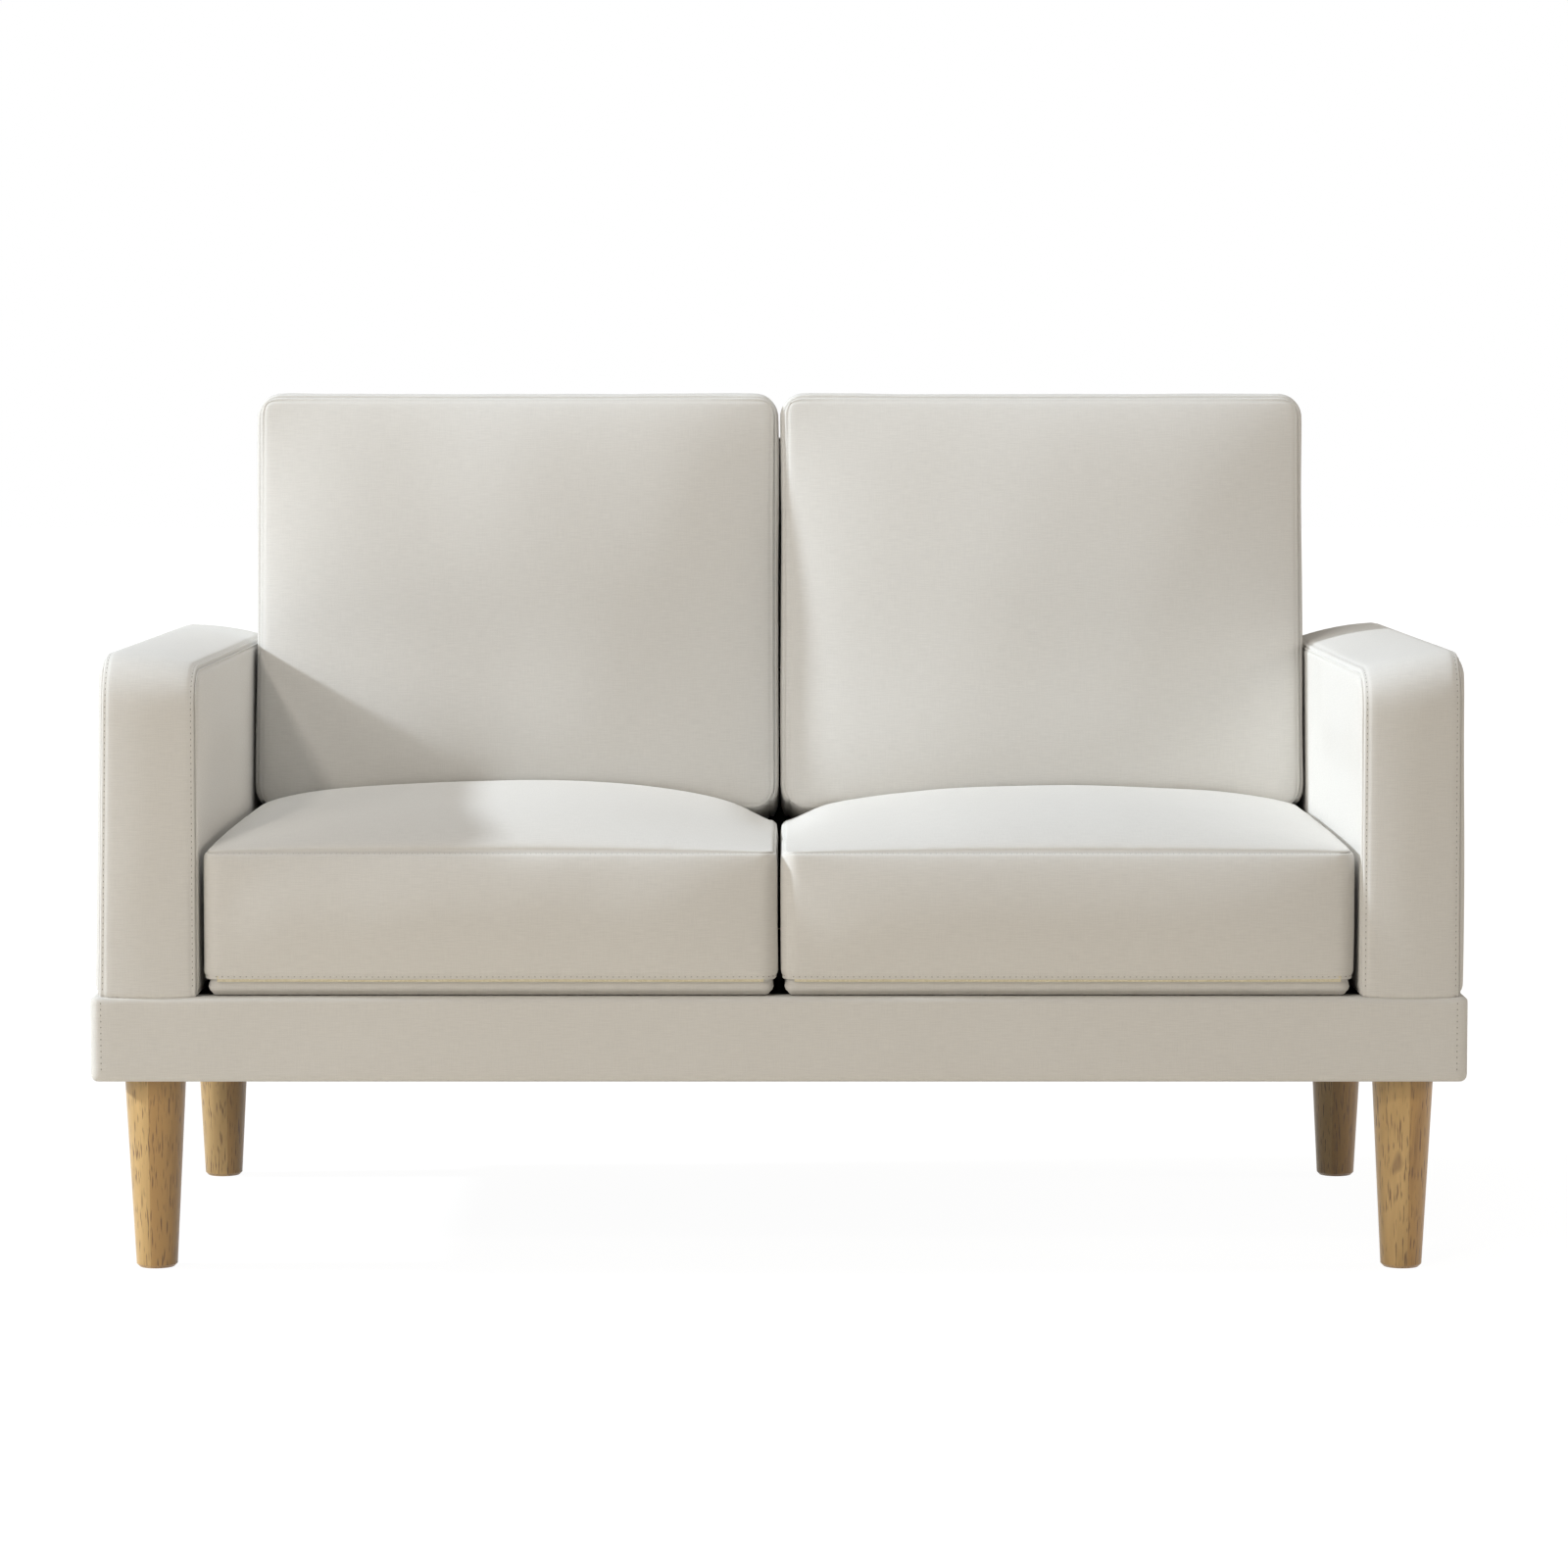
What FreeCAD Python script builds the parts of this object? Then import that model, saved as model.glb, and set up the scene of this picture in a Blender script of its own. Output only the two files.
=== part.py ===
import FreeCAD
import Part
import Sketcher
import math
import os

# High back settee for two: a webbed timber base on four turned legs, two padded
# panel arms, a leaning back frame, and four loose boxed cushions.
# Millimetres. Origin on the floor under the middle of the settee. +X runs to the
# right of someone facing it, -Y is the front, +Z is up.

doc = FreeCAD.newDocument("settee")

# Driving dimensions
sizes = doc.addObject("Spreadsheet::Sheet", "sizes")
DRIVING = [
    ("total_depth", 760, "seat cushion front to the top of the back"),
    ("base_width", 1330, "over the base cover"),
    ("base_depth", 713, "over the base cover"),
    ("base_bottom", 188.6, "underside of the base cover"),
    ("base_top", 271, "top of the base cover, where arms and cushions sit"),
    ("base_corner", 10, "upright corners of the base cover"),
    ("base_edge", 2, "bevel of the base cover's long edges"),
    ("base_inner_cut", 4, "inner corners of the base cover, cut across"),
    ("cushion_overhang", 5, "seat cushions past the front of the base"),
    ("cover_skin", 2.4, "cloth with its backing"),
    ("band_foam", 5.6, "foam band round the rails"),
    ("band_top_foam", 2, "foam strip over the rail tops"),
    ("band_top_width", 24, "how far that strip reaches inwards"),
    ("cover_lap_top", 40, "cloth turned in over the rails"),
    ("cover_lap_bottom", 26, "cloth turned in under the rails"),
    ("timber", 22, "thickness of every sawn board"),
    ("timber_arris", 2, "eased edge of the boards"),
    ("rail_height", 73, "base rails"),
    ("centre_rail_height", 41, "lower, so that the webbing can sag"),
    ("block_leg", 112, "corner block along each rail"),
    ("block_trim", 14, "blunt tips of the corner block"),
    ("block_height", 48, "corner block"),
    ("block_recess", 2, "corner block above the rails' undersides"),
    ("leg_inset", 57, "leg centre from the base's sides, front and rear"),
    ("leg_top_diameter", 59.4, "turned leg under the base"),
    ("leg_foot_diameter", 40, "turned leg at the floor"),
    ("leg_foot_round", 3, "softened edge round the foot"),
    ("glide_proud", 1, "glide below the foot"),
    ("glide_diameter", 20, "plastic glide"),
    ("glide_depth", 2, "recess for the glide"),
    ("plate_side", 52, "steel leg plate"),
    ("plate_thickness", 2.4, "steel leg plate"),
    ("plate_boss", 20, "threaded boss of the plate, diameter"),
    ("plate_screw_pitch", 36, "between the plate's screws"),
    ("bolt_diameter", 8, "hanger bolts and arm bolts"),
    ("bolt_play", 0.6, "bore over bolt"),
    ("bolt_slit", 10, "slit in a cloth where a bolt passes"),
    ("hanger_in_leg", 30, "hanger bolt inside the leg"),
    ("hanger_in_block", 34, "hanger bolt above the plate"),
    ("screw_diameter", 3.6, "plate screws"),
    ("screw_head", 7.4, "plate screw head, diameter"),
    ("screw_hole", 4.4, "hole for it in the plate"),
    ("screw_head_height", 1.8, "plate screw head"),
    ("screw_length", 16, "plate screw shank"),
    ("strap_width", 50, "elastic webbing"),
    ("strap_thickness", 2, "elastic webbing"),
    ("strap_pitch", 140, "between the straps that run front to back"),
    ("cross_pitch", 105, "between the straps that run side to side"),
    ("lining", 0.6, "thin black cloth"),
    ("lining_lap", 18, "lining's edge from the edge of the base"),
    ("dust_cover", 0.8, "cloth under the base"),
    ("arm_inner", 560.5, "inner face of an arm from the middle"),
    ("arm_foot", 663, "outer face of an arm at the base"),
    ("arm_head", 651, "outer face of an arm at its top"),
    ("arm_top", 601, "top of an arm"),
    ("arm_length", 705, "front to rear"),
    ("arm_nose", 42, "round of the arm's front top corner"),
    ("arm_heel", 14, "round of the arm's rear top corner"),
    ("arm_seam_bevel", 2, "bevel between an arm's panels and its boxing strip"),
    ("arm_fit", 0.3, "foam inside the cover"),
    ("arm_frame_inner", 578, "inner side of the arm's timber from the middle"),
    ("arm_frame_width", 60, "timber across the arm"),
    ("arm_frame_inset", 20, "timber behind the arm's front"),
    ("arm_frame_heel", 12, "timber before the arm's rear"),
    ("arm_frame_top", 575, "top of the arm's timber"),
    ("arm_bottom_rail", 28, "height of the arm's bottom rail"),
    ("arm_board", 4, "plywood on the inner side of the arm's timber"),
    ("board_window", 90, "cut-outs in the plywood from its edges"),
    ("board_stile", 60, "plywood left between its two cut-outs"),
    ("glue_block", 60, "block that takes an arm bolt, each side"),
    ("glue_block_height", 45, "block that takes an arm bolt"),
    ("arm_bolt_inset", 35, "arm bolt inside the side rail"),
    ("arm_bolt_front", 180, "front arm bolt behind the base's front"),
    ("arm_bolt_pitch", 340, "between an arm's two bolts"),
    ("arm_bolt_head", 16, "flanged head, diameter"),
    ("arm_bolt_head_height", 4, "flanged head"),
    ("tee_nut_flange", 22, "tee nut flange in the arm's bottom rail"),
    ("tee_nut_thickness", 2, "tee nut flange"),
    ("thread_play", 0.2, "tee nut's thread over bolt"),
    ("back_top", 805, "top of the back, below the cushions' tops"),
    ("back_half_width", 558, "back from the middle to each side"),
    ("back_thickness", 70, "back, front to rear"),
    ("back_round", 12, "round of the back's edges"),
    ("back_inner_cut", 4.8, "inner edges of the back's cover, cut across"),
    ("back_timber_depth", 42, "posts and rails of the back"),
    ("back_rear_gap", 4, "timber inside the back's rear face"),
    ("back_bottom_rail", 60, "height of the back's bottom rail"),
    ("back_top_roll", 18, "padding over the back's top rail"),
    ("back_side_gap", 8, "timber inside the back's sides"),
    ("back_strap_pitch", 82, "between the back's straps"),
    ("back_strap_first", 120, "first strap's middle above the base"),
    ("lining_top", 560, "black lining on the back ends here"),
    ("lining_side", 18, "cloth turned round the back's sides"),
    ("connector_width", 34, "steel hook plate between back and arm"),
    ("connector_height", 78, "steel hook plate"),
    ("connector_taper", 8, "drawn in at the hook's lower end"),
    ("connector_low", 315, "middle of the lower hook plate above the floor"),
    ("connector_rise", 190, "from the lower hook plate to the upper"),
    ("cushion_gap", 0.3, "clearance under and beside a loose cushion"),
    ("fibre_wrap", 14, "cushion cover with the fibre wrap inside it, over the foam core"),
    ("seat_outer", 556, "outer side of a seat cushion from the middle"),
    ("seat_middle_gap", 1, "inner side of a seat cushion from the middle"),
    ("seat_rear_gap", 2, "seat cushion in front of the back"),
    ("seat_seam", 411, "top seam of a seat cushion above the floor"),
    ("seat_crown", 52, "crown of a seat cushion above its seam"),
    ("seat_corner", 24, "corners of a seat cushion in plan"),
    ("seat_edge_round", 10, "lower edges of a seat cushion"),
    ("seat_bulge", 3, "boxing of a seat cushion stands out past its seams"),
    ("seat_draw", 2.5, "sides pull in between the corners"),
    ("seat_shoulder_run", 85, "seam to the crest of a seat cushion, level"),
    ("seat_shoulder_rise", 40, "seam to the crest of a seat cushion, upright"),
    ("seat_crest_start", 9, "slope where the crest begins, degrees"),
    ("seat_fall", 13, "slope of the seat under the back cushion, degrees"),
    ("back_cushion_outer", 559.2, "outer side of a back cushion from the middle"),
    ("back_cushion_middle_gap", 1.5, "inner side of a back cushion from the middle"),
    ("back_cushion_low", 411.6, "front foot of a back cushion above the floor"),
    ("back_cushion_high", 853, "top of a back cushion above the floor"),
    ("back_cushion_foot", 128, "back cushion's boxing, front to rear, at its underside"),
    ("back_cushion_head", 100, "back cushion's boxing, front to rear, at its top"),
    ("back_cushion_swell", 141, "its sides swell over this depth behind the front seam"),
    ("back_cushion_crown", 38, "crown of a back cushion in front of its seam"),
    ("back_cushion_corner", 30, "corners of a back cushion"),
    ("back_cushion_bulge", 4, "boxing of a back cushion stands out past its seams"),
    ("back_cushion_draw", 3, "sides pull in between the corners"),
    ("back_shoulder_run", 75, "seam to the crest of a back cushion, along it"),
    ("back_shoulder_rise", 29, "seam to the crest of a back cushion, out of it"),
]
for line, (alias, value, meaning) in enumerate(DRIVING, start=1):
    sizes.set(f"A{line}", meaning)
    sizes.set(f"B{line}", str(value))
    sizes.setAlias(f"B{line}", alias)
doc.recompute()


def size(alias):
    return float(sizes.get(alias))


CUSHION_FRONT = -size("total_depth") / 2
BASE_FRONT = CUSHION_FRONT + size("cushion_overhang")
BASE_REAR = BASE_FRONT + size("base_depth")


# Places that several pieces share, as formulas on the driving dimensions
FRONT = "(-sizes.total_depth / 2 + sizes.cushion_overhang)"
REAR = f"({FRONT} + sizes.base_depth)"
SKIN = "sizes.cover_skin"
FRAME_X = "(sizes.base_width / 2 - sizes.cover_skin - sizes.band_foam)"
FRAME_FRONT = f"({FRONT} + sizes.cover_skin + sizes.band_foam)"
FRAME_REAR = f"({REAR} - sizes.cover_skin - sizes.band_foam)"
FRAME_BOTTOM = "(sizes.base_bottom + sizes.cover_skin)"
RAIL_TOP = f"({FRAME_BOTTOM} + sizes.rail_height)"
STRAP_TOP = f"({RAIL_TOP} + sizes.strap_thickness)"
PLATE_TOP = f"({FRAME_BOTTOM} + sizes.block_recess)"
LEG_TOP = "(sizes.base_bottom - sizes.dust_cover)"
LEG_X = "(sizes.base_width / 2 - sizes.leg_inset)"
LEG_FRONT = f"({FRONT} + sizes.leg_inset)"
LEG_REAR = f"({REAR} - sizes.leg_inset)"
ARM_BOLT_X = f"({FRAME_X} - sizes.timber - sizes.arm_bolt_inset)"
ARM_BOLT_FRONT = f"({FRONT} + sizes.arm_bolt_front)"
ARM_BOLT_REAR = f"({ARM_BOLT_FRONT} + sizes.arm_bolt_pitch)"
ARM_REAR = f"({FRONT} + sizes.arm_length)"
BACK_SLOPE = f"((sizes.total_depth / 2 - {REAR}) / (sizes.back_top - sizes.base_top))"

SIDES = (("left", -1), ("right", 1))
ENDS = (("front", LEG_FRONT, 1), ("rear", LEG_REAR, -1))


def leaning(height, forward):
    """Depth, at a height, of a plane that stands forward of the back's rear face."""
    return f"({REAR} + {BACK_SLOPE} * (({height}) - sizes.base_top) - ({forward}))"


# Ways of making a piece
def new_body(label):
    body = doc.addObject("PartDesign::Body", label)
    body.Label = label
    return body


def sketch_on(body, role, name, offset=None):
    plane = [item for item in body.Origin.OriginFeatures if item.Role == role][0]
    sketch = body.newObject("Sketcher::SketchObject", f"{body.Name}_{name}")
    sketch.AttachmentSupport = [(plane, "")]
    sketch.MapMode = "FlatFace"
    if offset is not None:
        sketch.setExpression("AttachmentOffset.Base.z", offset)
    return sketch


def fix_point(sketch, geometry, point, across, up):
    for kind, formula in (("DistanceX", across), ("DistanceY", up)):
        index = sketch.addConstraint(Sketcher.Constraint(kind, -1, 1, geometry, point, 1.0))
        sketch.setExpression(f"Constraints[{index}]", formula)


def outline(body, role, name, corners, offset=None):
    """A closed outline of straight lines. Each corner is a pair of formulas."""
    sketch = sketch_on(body, role, name, offset)
    count = len(corners)
    first = []
    for i in range(count):
        turn = 2 * math.pi * i / count
        first.append(FreeCAD.Vector(100 * math.cos(turn), 100 * math.sin(turn), 0))
    for i in range(count):
        sketch.addGeometry(Part.LineSegment(first[i], first[(i + 1) % count]), False)
    for i in range(count):
        sketch.addConstraint(Sketcher.Constraint("Coincident", i, 2, (i + 1) % count, 1))
    for i, (across, up) in enumerate(corners):
        fix_point(sketch, i, 1, across, up)
    return sketch


def rectangle(body, role, name, low, high, offset=None):
    (x0, y0), (x1, y1) = low, high
    return outline(body, role, name, [(x0, y0), (x1, y0), (x1, y1), (x0, y1)], offset)


def circles(body, role, name, centres, diameter, offset=None):
    sketch = sketch_on(body, role, name, offset)
    for i, (across, up) in enumerate(centres):
        start = Part.Circle(FreeCAD.Vector(30.0 * i, 0, 0), FreeCAD.Vector(0, 0, 1), 5.0)
        sketch.addGeometry(start, False)
        fix_point(sketch, i, 3, across, up)
        index = sketch.addConstraint(Sketcher.Constraint("Diameter", i, 10.0))
        sketch.setExpression(f"Constraints[{index}]", diameter)
    return sketch


def pad(body, sketch, length, backwards=False, both_ways=False):
    feature = body.newObject("PartDesign::Pad", f"{sketch.Name}_pad")
    feature.Profile = sketch
    feature.Reversed = backwards
    if both_ways:
        feature.SideType = "Symmetric"
    feature.setExpression("Length", length)
    doc.recompute()
    return feature


def pocket(body, sketch, length, backwards=False, both_ways=False):
    """Cuts a sketch's outline away, and stops if nothing was cut."""
    before = body.Shape.Volume
    feature = body.newObject("PartDesign::Pocket", f"{sketch.Name}_cut")
    feature.Profile = sketch
    feature.Reversed = backwards
    if both_ways:
        feature.SideType = "Symmetric"
    feature.setExpression("Length", length)
    doc.recompute()
    if not body.Shape.Volume < before - 1e-3:
        raise RuntimeError(f"{feature.Name} cut nothing")
    return feature


def cut_slits(body, centres, level, depth):
    """Square cuts in a cloth where bolts pass."""
    half = "sizes.bolt_slit / 2"
    for i, (x, y) in enumerate(centres):
        slit = rectangle(body, "XY_Plane", f"slit_{i}", (f"{x} - {half}", f"{y} - {half}"),
                         (f"{x} + {half}", f"{y} + {half}"), level)
        pocket(body, slit, depth, backwards=True)


def fillet(body, name, radius, wanted):
    """Rounds the body's edges for which wanted(edge) holds."""
    base = body.Tip
    picked = [f"Edge{i}" for i, edge in enumerate(base.Shape.Edges, 1) if wanted(edge)]
    if not picked:
        raise RuntimeError(f"no edge to round for {body.Name} {name}")
    feature = body.newObject("PartDesign::Fillet", f"{body.Name}_{name}")
    feature.Base = (base, picked)
    feature.setExpression("Radius", radius)
    doc.recompute()
    if "Invalid" in feature.State:
        raise RuntimeError(f"{feature.Name} failed")
    return feature


def bevel(body, name, width, wanted):
    """Bevels the body's edges for which wanted(edge) holds."""
    base = body.Tip
    picked = [f"Edge{i}" for i, edge in enumerate(base.Shape.Edges, 1) if wanted(edge)]
    feature = body.newObject("PartDesign::Chamfer", f"{body.Name}_{name}")
    feature.Base = (base, picked)
    feature.setExpression("Size", width)
    doc.recompute()
    if not picked or "Invalid" in feature.State:
        raise RuntimeError(f"{feature.Name} failed")
    return feature


def direction(edge):
    """Unit vector along an edge, ends only."""
    ends = edge.Vertexes
    along = ends[-1].Point - ends[0].Point
    return along.normalize() if along.Length > 1e-6 else along


def upright(edge):
    return abs(direction(edge).z) > 0.999


def crosswise(edge):
    return abs(direction(edge).x) > 0.999


def level_at(edge, heights):
    """Whether an edge is level and lies at one of the heights."""
    reach = edge.BoundBox
    return reach.ZLength < 1e-6 and any(abs(reach.ZMin - z) < 1e-4 for z in heights)


def box(label, low, extent):
    """A plain block, low corner and extents as formulas."""
    block = doc.addObject("Part::Box", label)
    block.Label = label
    for axis, formula in zip("xyz", low):
        block.setExpression(f".Placement.Base.{axis}", formula)
    for side, formula in zip(("Length", "Width", "Height"), extent):
        block.setExpression(side, formula)
    return block


def board(label, low, extent):
    """A sawn board with its four long edges eased."""
    blank = box(f"{label}_blank", low, extent)
    doc.recompute()
    eased = doc.addObject("Part::Chamfer", label)
    eased.Label = label
    eased.Base = blank
    longest = max(edge.Length for edge in blank.Shape.Edges)
    arris = size("timber_arris")
    eased.Edges = [
        (i, arris, arris)
        for i, edge in enumerate(blank.Shape.Edges, 1)
        if edge.Length > longest - 1e-6
    ]
    return eased


def cylinder(name, centre, low, diameter, height):
    rod = doc.addObject("Part::Cylinder", name)
    rod.setExpression(".Placement.Base.x", centre[0])
    rod.setExpression(".Placement.Base.y", centre[1])
    rod.setExpression(".Placement.Base.z", low)
    rod.setExpression("Radius", f"({diameter}) / 2")
    rod.setExpression("Height", height)
    return rod


def pin(name, centre, low, diameter, height):
    """A small fastener's shank or head, eight-sided."""
    rod = doc.addObject("Part::Prism", name)
    rod.Polygon = FASTENER_SIDES
    rod.setExpression(".Placement.Base.x", centre[0])
    rod.setExpression(".Placement.Base.y", centre[1])
    rod.setExpression(".Placement.Base.z", low)
    rod.setExpression("Circumradius", f"({diameter}) / 2")
    rod.setExpression("Height", height)
    return rod


def group(label, members):
    """Like pieces that share one node, each its own solid."""
    together = doc.addObject("Part::Compound", label)
    together.Label = label
    together.Links = members
    return together


FASTENER_SIDES = 8
parts = []

# Base rails: sawn boards, the front and rear ones running the full width
INSIDE_FRONT = f"({FRAME_FRONT} + sizes.timber)"
INSIDE_REAR = f"({FRAME_REAR} - sizes.timber)"
BETWEEN = f"({INSIDE_REAR} - {INSIDE_FRONT})"
parts.append(board(
    "base_front_rail", (f"-{FRAME_X}", FRAME_FRONT, FRAME_BOTTOM),
    (f"2 * {FRAME_X}", "sizes.timber", "sizes.rail_height")))
parts.append(board(
    "base_rear_rail", (f"-{FRAME_X}", INSIDE_REAR, FRAME_BOTTOM),
    (f"2 * {FRAME_X}", "sizes.timber", "sizes.rail_height")))
parts.append(board(
    "base_side_rail_left", (f"-{FRAME_X}", INSIDE_FRONT, FRAME_BOTTOM),
    ("sizes.timber", BETWEEN, "sizes.rail_height")))
parts.append(board(
    "base_side_rail_right", (f"{FRAME_X} - sizes.timber", INSIDE_FRONT, FRAME_BOTTOM),
    ("sizes.timber", BETWEEN, "sizes.rail_height")))
parts.append(board(
    "base_centre_rail", ("-sizes.timber / 2", INSIDE_FRONT, FRAME_BOTTOM),
    ("sizes.timber", BETWEEN, "sizes.centre_rail_height")))

# Corner blocks: glued triangles with blunt tips that carry the leg plates
CORNER_X = f"({FRAME_X} - sizes.timber)"
for side_name, side in SIDES:
    for end_name, leg_y, inwards in ENDS:
        label = f"corner_block_{end_name}_{side_name}"
        corner_y = INSIDE_FRONT if inwards > 0 else INSIDE_REAR
        body = new_body(label)
        reach_x = f"{side} * ({CORNER_X} - sizes.block_leg)"
        tip_x = f"{side} * ({CORNER_X} - sizes.block_trim)"
        reach_y = f"{corner_y} + {inwards} * sizes.block_leg"
        tip_y = f"{corner_y} + {inwards} * sizes.block_trim"
        shape = outline(body, "XY_Plane", "triangle", [
            (f"{side} * {CORNER_X}", corner_y), (reach_x, corner_y), (reach_x, tip_y),
            (tip_x, reach_y), (f"{side} * {CORNER_X}", reach_y)], PLATE_TOP)
        pad(body, shape, "sizes.block_height")
        bore = circles(body, "XY_Plane", "bore", [(f"{side} * {LEG_X}", leg_y)],
                       "sizes.bolt_diameter + sizes.bolt_play", PLATE_TOP)
        pocket(body, bore, "sizes.block_height", backwards=True)
        parts.append(body)

# Glue blocks inside the side rails, each drilled upright for an arm bolt
BLOCK_LOW = f"({RAIL_TOP} - sizes.glue_block_height)"
glue_blocks = []
for side_name, side in SIDES:
    for end_name, bolt_y in (("front", ARM_BOLT_FRONT), ("rear", ARM_BOLT_REAR)):
        body = new_body(f"glue_block_{end_name}_{side_name}")
        square = rectangle(
            body, "XY_Plane", "square",
            (f"{side} * ({CORNER_X} - sizes.glue_block)", f"{bolt_y} - sizes.glue_block / 2"),
            (f"{side} * {CORNER_X}", f"{bolt_y} + sizes.glue_block / 2"), BLOCK_LOW)
        pad(body, square, "sizes.glue_block_height")
        bore = circles(body, "XY_Plane", "bore", [(f"{side} * {ARM_BOLT_X}", bolt_y)],
                       "sizes.bolt_diameter + sizes.bolt_play", BLOCK_LOW)
        pocket(body, bore, "sizes.glue_block_height", backwards=True)
        glue_blocks.append(body)
parts.append(group("arm_bolt_blocks", glue_blocks))

# Seat webbing: straps from front to back, and straps woven over and under them
STRAPS_PER_SEAT = 4
CROSS_STRAPS = 3
STRAP_HOLD = 4  # straps end this far inside the rails' outer sides
strap_places = []
for side_name, side in SIDES:
    for i in range(STRAPS_PER_SEAT):
        strap_places.append(f"{side * (i + 0.5)} * sizes.strap_pitch")
lengthwise = []
for i, place in enumerate(strap_places):
    lengthwise.append(box(
        f"strap_{i}",
        (f"{place} - sizes.strap_width / 2", f"{FRAME_FRONT} + {STRAP_HOLD}", RAIL_TOP),
        ("sizes.strap_width", f"{FRAME_REAR} - {FRAME_FRONT} - {2 * STRAP_HOLD}",
         "sizes.strap_thickness")))
parts.append(group("seat_webbing_lengthwise", lengthwise))

cross_straps = []
STEP_RUN = 3  # a cross strap climbs onto the next strap over this distance
for row in range(CROSS_STRAPS):
    # Lower edge from left to right: level on the side rails, then over or under in turn
    steps = [(f"-({FRAME_X} - {STRAP_HOLD})", "0"), (f"-{CORNER_X} + {STEP_RUN}", "0")]
    for i in range(2 * STRAPS_PER_SEAT):
        middle = f"{i + 0.5 - STRAPS_PER_SEAT} * sizes.strap_pitch"
        level = "sizes.strap_thickness" if (i + row) % 2 else "-sizes.strap_thickness"
        steps.append((f"{middle} - sizes.strap_width / 2 - {STEP_RUN}", level))
        steps.append((f"{middle} + sizes.strap_width / 2 + {STEP_RUN}", level))
    steps.append((f"{CORNER_X} - {STEP_RUN}", "0"))
    steps.append((f"{FRAME_X} - {STRAP_HOLD}", "0"))
    lower = [(x, f"{RAIL_TOP} + {level}") for x, level in steps]
    upper = [(x, f"{STRAP_TOP} + {level}") for x, level in reversed(steps)]
    body = new_body(f"cross_strap_{row}")
    middle_y = f"({FRONT} + {REAR}) / 2 + {row - 1} * sizes.cross_pitch"
    profile = outline(body, "XZ_Plane", "wave", lower + upper, f"-({middle_y})")
    pad(body, profile, "sizes.strap_width", both_ways=True)
    cross_straps.append(body)
parts.append(group("seat_webbing_crosswise", cross_straps))

# Foam band round the rails, turned in over their tops
body = new_body("base_padding")
BAND_X = f"({FRAME_X} + sizes.band_foam)"
BAND_FRONT = f"({FRAME_FRONT} - sizes.band_foam)"
BAND_REAR = f"({FRAME_REAR} + sizes.band_foam)"
BAND_TOP = f"({STRAP_TOP} + sizes.band_top_foam)"
block = rectangle(body, "XY_Plane", "block", (f"-{BAND_X}", BAND_FRONT),
                  (BAND_X, BAND_REAR), FRAME_BOTTOM)
pad(body, block, f"{BAND_TOP} - {FRAME_BOTTOM}")
fillet(body, "corners", "sizes.base_corner - sizes.cover_skin", upright)
inside = rectangle(body, "XY_Plane", "inside", (f"-{FRAME_X}", FRAME_FRONT),
                   (FRAME_X, FRAME_REAR), FRAME_BOTTOM)
pocket(body, inside, f"{STRAP_TOP} - {FRAME_BOTTOM}", backwards=True)
window = rectangle(
    body, "XY_Plane", "window",
    (f"-{FRAME_X} + sizes.band_top_width", f"{FRAME_FRONT} + sizes.band_top_width"),
    (f"{FRAME_X} - sizes.band_top_width", f"{FRAME_REAR} - sizes.band_top_width"), STRAP_TOP)
pocket(body, window, "sizes.band_top_foam", backwards=True)
parts.append(body)

# Base cover: one band of cloth round the rails, turned in above and below
body = new_body("base_cover")
block = rectangle(body, "XY_Plane", "block", ("-sizes.base_width / 2", FRONT),
                  ("sizes.base_width / 2", REAR), "sizes.base_bottom")
pad(body, block, "sizes.base_top - sizes.base_bottom")
fillet(body, "corners", "sizes.base_corner", upright)
rims = (size("base_bottom"), size("base_top"))
bevel(body, "rims", "sizes.base_edge", lambda edge: level_at(edge, rims))
nick = "sizes.base_inner_cut"
inside = outline(body, "XY_Plane", "inside", [
    (f"{BAND_X} - {nick}", BAND_FRONT), (BAND_X, f"{BAND_FRONT} + {nick}"),
    (BAND_X, f"{BAND_REAR} - {nick}"), (f"{BAND_X} - {nick}", BAND_REAR),
    (f"-{BAND_X} + {nick}", BAND_REAR), (f"-{BAND_X}", f"{BAND_REAR} - {nick}"),
    (f"-{BAND_X}", f"{BAND_FRONT} + {nick}"), (f"-{BAND_X} + {nick}", BAND_FRONT)],
    FRAME_BOTTOM)
pocket(body, inside, "sizes.base_top - sizes.base_bottom - 2 * sizes.cover_skin",
       backwards=True)
window = rectangle(
    body, "XY_Plane", "top_window",
    (f"-{BAND_X} + sizes.cover_lap_top", f"{BAND_FRONT} + sizes.cover_lap_top"),
    (f"{BAND_X} - sizes.cover_lap_top", f"{BAND_REAR} - sizes.cover_lap_top"),
    "sizes.base_top")
pocket(body, window, "2 * sizes.cover_skin")
window = rectangle(
    body, "XY_Plane", "bottom_window",
    (f"-{BAND_X} + sizes.cover_lap_bottom", f"{BAND_FRONT} + sizes.cover_lap_bottom"),
    (f"{BAND_X} - sizes.cover_lap_bottom", f"{BAND_REAR} - sizes.cover_lap_bottom"),
    "sizes.base_bottom")
pocket(body, window, "2 * sizes.cover_skin", backwards=True)
parts.append(body)

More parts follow.
